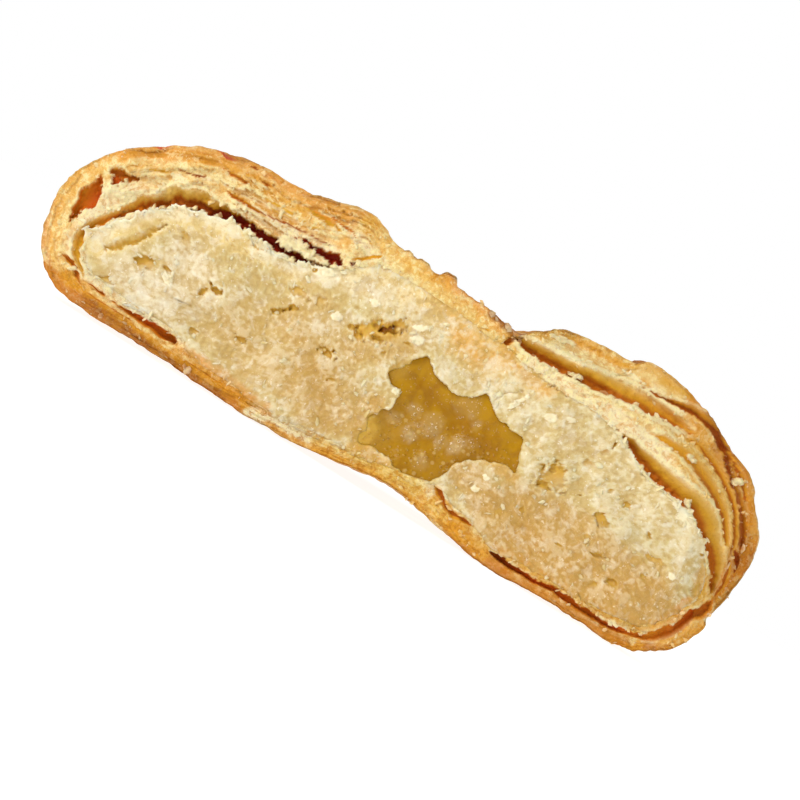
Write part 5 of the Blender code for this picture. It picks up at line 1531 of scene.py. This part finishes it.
pasteFinish = {
    "damper": (0.81, 0.68, 0.40), "hazeLight": (0.95, 0.92, 0.84), "hazeDark": (0.79, 0.655, 0.34),
    "crown": (0.97, 0.95, 0.86), "hollow": (0.78, 0.64, 0.34), "sugar": (1.0, 0.98, 0.92),
    "fineLight": (1.0, 0.98, 0.88), "fineDark": (0.76, 0.60, 0.30),
    "tanned": (0.93, 0.80, 0.60),  # what the tan paint is multiplied by
    "crest": (0.98, 0.94, 0.80), "syrup": (0.79, 0.62, 0.24),
    "hole": (0.84, 0.66, 0.24), "paintedHoleShade": (0.68, 0.42, 0.08),
    "side": (0.84, 0.66, 0.32), "paintedSideShade": (0.55, 0.22, 0.06),
}


def fillingMaterial():
    tree = Tree("palePaste")
    dark, damp, crown = tree.value("dark"), tree.value("damp"), tree.value("crown")
    wall, crest = tree.value("wall"), tree.value("crest")
    fine = tree.noise(0.22, roughness=0.7)
    grains = tree.noise(0.40, detail=2.0, distortion=0.3)
    haze = tree.noise(1.2, detail=5.0, roughness=0.62, distortion=0.6)
    mottle = tree.noise(2.6, detail=4.0)
    colour = tree.colour("paint")
    tan = tree.between(tree.channel(colour, "Blue"), 0.26, 0.13)
    colour = tree.coats(
        colour, pasteFinish,
        damper=tree.between(mottle, 0.44, 0.62) * 0.45,
        hazeLight=tree.between(haze, 0.49, 0.66) * 0.50,
        hazeDark=tree.between(haze, 0.50, 0.35) * 0.42,
        # painted highlight on the crowns of the crumb relief, and painted shade in its hollows
        crown=tree.between(crown, 0.52, 0.95) * 0.30,
        hollow=tree.between(crown, 0.48, 0.05) * 0.45,
        # tiny white specks of paste, painted as glints
        sugar=tree.between(grains, 0.66, 0.72) * 0.55,
        fineLight=tree.between(fine, 0.54, 0.76) * 0.20,
        fineDark=tree.between(fine, 0.46, 0.26) * 0.34)
    colour = tree.mix(tan * 0.6, colour, pasteFinish["tanned"], "MULTIPLY")
    colour = tree.coats(
        colour, pasteFinish,
        crest=tree.between(crest, 0.2, 0.9) * 0.7,
        syrup=tree.between(damp, 0.1, 1.0) * 0.85)
    tone = {name: linear(pasteFinish[name]) for name in ("hole", "paintedHoleShade", "side", "paintedSideShade")}
    # the ochre tint of holes and grooves, with painted shade that darkens it deep in them
    hole = tree.mix(tree.between(dark, 0.6, 1.0), tone["hole"], tone["paintedHoleShade"])
    colour = tree.mix(tree.between(dark, 0.05, 0.5), colour, hole)
    # painted shade: the paste's side darkens the further back it goes
    side = tree.mix(tree.between(wall, 0.2, 0.8), tone["side"], tone["paintedSideShade"])
    colour = tree.mix(tree.between(wall, 0.0, 0.35), colour, side)
    bump = tree.bump(fine, 0.55, 0.09, under=tree.bump(grains, 0.45, 0.14))
    return tree.finish(colour, tree.between(fine, 0.3, 0.7, 0.50, 0.28), bump, **{
        "Specular IOR Level": 0.35, "Subsurface Weight": 0.8, "Subsurface Radius": (1.0, 0.9, 0.75),
        "Subsurface Scale": 0.0008})


def crumbMaterial(name, pale, share):
    tree = Tree(name)
    fine = tree.noise(0.8, detail=2.0)
    colour = tree.mix(tree.between(fine, 0.3, 0.65) * share + 0.1, tree.colour("paint"), linear(pale))
    return tree.finish(colour, tree.between(fine, 0.3, 0.7, 0.55, 0.35), **{
        "Specular IOR Level": 0.45, "Subsurface Weight": 0.3, "Subsurface Radius": (1.0, 0.65, 0.3),
        "Subsurface Scale": 0.0008})


amberFinish = {
    "above": (0.71, 0.52, 0.03), "bubbly": (0.69, 0.50, 0.07),
    "mottle": (0.59, 0.395, 0.02), "fleshy": (0.74, 0.61, 0.39), "shade": (0.60, 0.395, 0.02),
    "melting": (0.80, 0.63, 0.25), "bubble": (0.90, 0.80, 0.55), "clump": (0.82, 0.72, 0.53),
    "dust": (0.95, 0.87, 0.70), "glint": (1.0, 0.95, 0.84),
}


def coreMaterial():
    tree = Tree("amberPaste")
    bubbly, fleshy, shade = tree.value("bubbly"), tree.value("fleshy"), tree.value("shade")
    bubble, soft = tree.value("bubble"), tree.value("soft")
    fine = tree.noise(0.25)
    mottle = tree.noise(1.8, distortion=0.6)
    beads, drawn = tree.beads(0.55)
    dust, chosen = tree.beads(0.30)
    # painted highlights: glints as rings and specks on the beads, and tiny pale foam beads with painted
    # glints
    ringed = tree.between(beads, 0.36, 0.30) - tree.between(beads, 0.26, 0.20)
    glints = ringed * tree.between(drawn, 0.60, 0.70) * tree.between(fine, 0.46, 0.56)
    glintSpecks = tree.between(beads, 0.20, 0.10) * tree.between(drawn, 0.48, 0.40)
    dusty = tree.between(dust, 0.34, 0.16) * tree.between(chosen, 0.50, 0.36) * fleshy
    colour = tree.mix(bubbly, linear(amberFinish["above"]), linear(amberFinish["bubbly"]))
    colour = tree.coats(
        colour, amberFinish,
        mottle=tree.between(mottle, 0.42, 0.68) * 0.6,
        fleshy=fleshy * 0.55,
        # painted shade along the syrup's valley
        shade=shade * 0.6,
        melting=soft,
        bubble=tree.between(bubble, 0.3, 0.9) * 0.3,
        clump=tree.between(mottle, 0.46, 0.62) * fleshy * 0.35,
        dust=dusty * 0.55,
        glint=(glints + glintSpecks) * (0.12 + 0.72 * fleshy))
    dimpled = tree.bump(fine, 0.4, 0.08)
    bump = tree.bump(tree.between(beads, 0.45, 0.0) * bubbly, 0.8, 0.12, under=dimpled)
    return tree.finish(colour, tree.between(mottle, 0.3, 0.7, 0.16, 0.30), bump, **{
        "Specular IOR Level": 0.18, "Subsurface Weight": 0.3, "Subsurface Radius": (1.0, 0.6, 0.1),
        "Subsurface Scale": 0.001})


studio = {
    "around": 0.42, "warmth": (1.0, 0.97, 0.90), "background": 1.0, "floorGlow": 0.88, "floorReach": 3.0,
    "aim": (0.0, -0.02, 0.01),
}
lights = {
    "key": {"place": (-0.42, -0.42, 0.36), "power": 2.6, "size": 0.30},
    "fill": {"place": (0.25, -0.55, 0.25), "power": 0.35, "size": 0.40},
    "back": {"place": (0.30, 0.50, 0.40), "power": 1.2, "size": 0.40},
}


def makeStage():
    floor = bpy.data.meshes.new("floor")
    corners = [(studio["floorReach"] * x, studio["floorReach"] * y, 0.0)
               for x, y in ((-1, -1), (1, -1), (1, 1), (-1, 1))]
    floor.from_pydata(corners, [], [(0, 1, 2, 3)])
    stage = bpy.data.objects.new("floor", floor)
    bpy.context.scene.collection.objects.link(stage)
    tree = Tree("whitePaper")
    grain = tree.noise(9.0)
    tree.finish((0.30, 0.30, 0.30), tree.between(grain, 0.2, 0.8, 0.85, 0.95), **{
        "Specular IOR Level": 0.1, "Emission Color": (1.0, 1.0, 1.0),
        "Emission Strength": studio["floorGlow"]})
    floor.materials.append(tree.material)


def makeLight(name, place, power, size):
    light = bpy.data.lights.new(name, "AREA")
    light.energy = power
    light.size = size
    lamp = bpy.data.objects.new(name, light)
    lamp.location = place
    lamp.rotation_euler = (Vector(studio["aim"]) - Vector(place)).to_track_quat("-Z", "Y").to_euler()
    bpy.context.scene.collection.objects.link(lamp)


def makeCamera():
    camera = bpy.data.cameras.new("camera")
    camera.lens = photo["lens"]
    camera.sensor_width = photo["sensor"]
    camera.clip_start = 0.01
    eye = bpy.data.objects.new("camera", camera)
    x, z = photo["middle"]
    place = (np.array([x, -eyeDistance, z]) + frameShift) * millimetre
    level = Matrix.Rotation(math.pi / 2.0, 4, "X")
    roll = Matrix.Rotation(math.radians(photo["roll"]), 4, "Z")
    eye.matrix_world = Matrix.Translation(place) @ level @ roll
    bpy.context.scene.collection.objects.link(eye)
    bpy.context.scene.camera = eye


def makeWorld():
    # soft light from all round, and a white backdrop
    world = bpy.data.worlds.new("studio")
    world.use_nodes = True
    nodes, links = world.node_tree.nodes, world.node_tree.links
    soft = nodes["Background"]
    soft.inputs["Color"].default_value = (*studio["warmth"], 1.0)
    soft.inputs["Strength"].default_value = studio["around"]
    white = nodes.new("ShaderNodeBackground")
    white.inputs["Color"].default_value = (1.0, 1.0, 1.0, 1.0)
    white.inputs["Strength"].default_value = studio["background"]
    seen = nodes.new("ShaderNodeLightPath")
    mixed = nodes.new("ShaderNodeMixShader")
    links.new(seen.outputs["Is Camera Ray"], mixed.inputs[0])
    links.new(soft.outputs[0], mixed.inputs[1])
    links.new(white.outputs[0], mixed.inputs[2])
    links.new(mixed.outputs[0], nodes["World Output"].inputs["Surface"])
    bpy.context.scene.world = world
    bpy.context.scene.view_settings.view_transform = "Standard"


def addPiece(piece, material, node):
    # every piece rides on the one body and takes its finish from a slot
    if material:
        piece.data.materials.append(material)
    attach(piece, "root")
    if node:
        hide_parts(node)


print("crust")
crust = makeCrust()
addPiece(crust, crustMaterial(), "crust")
print("filling")
filling = makeFilling()
addPiece(filling, fillingMaterial(), "filling")
print("sticky centre")
addPiece(makeCore(), coreMaterial(), "core")
print("crumbs")
goldCrumbs = crumbMaterial("bakedCrumbs", (0.98, 0.90, 0.70), 0.4)
paleCrumbs = crumbMaterial("paleCrumbs", (0.99, 0.95, 0.82), 0.4)
addPiece(scatterCrumbs("crustCrumbs", crust, goldCrumbs), None, None)
addPiece(scatterCrumbs("fillingCrumbs", filling, paleCrumbs), None, None)

print("stage")
makeStage()
makeWorld()
makeCamera()
for name, light in lights.items():
    makeLight(name, **light)
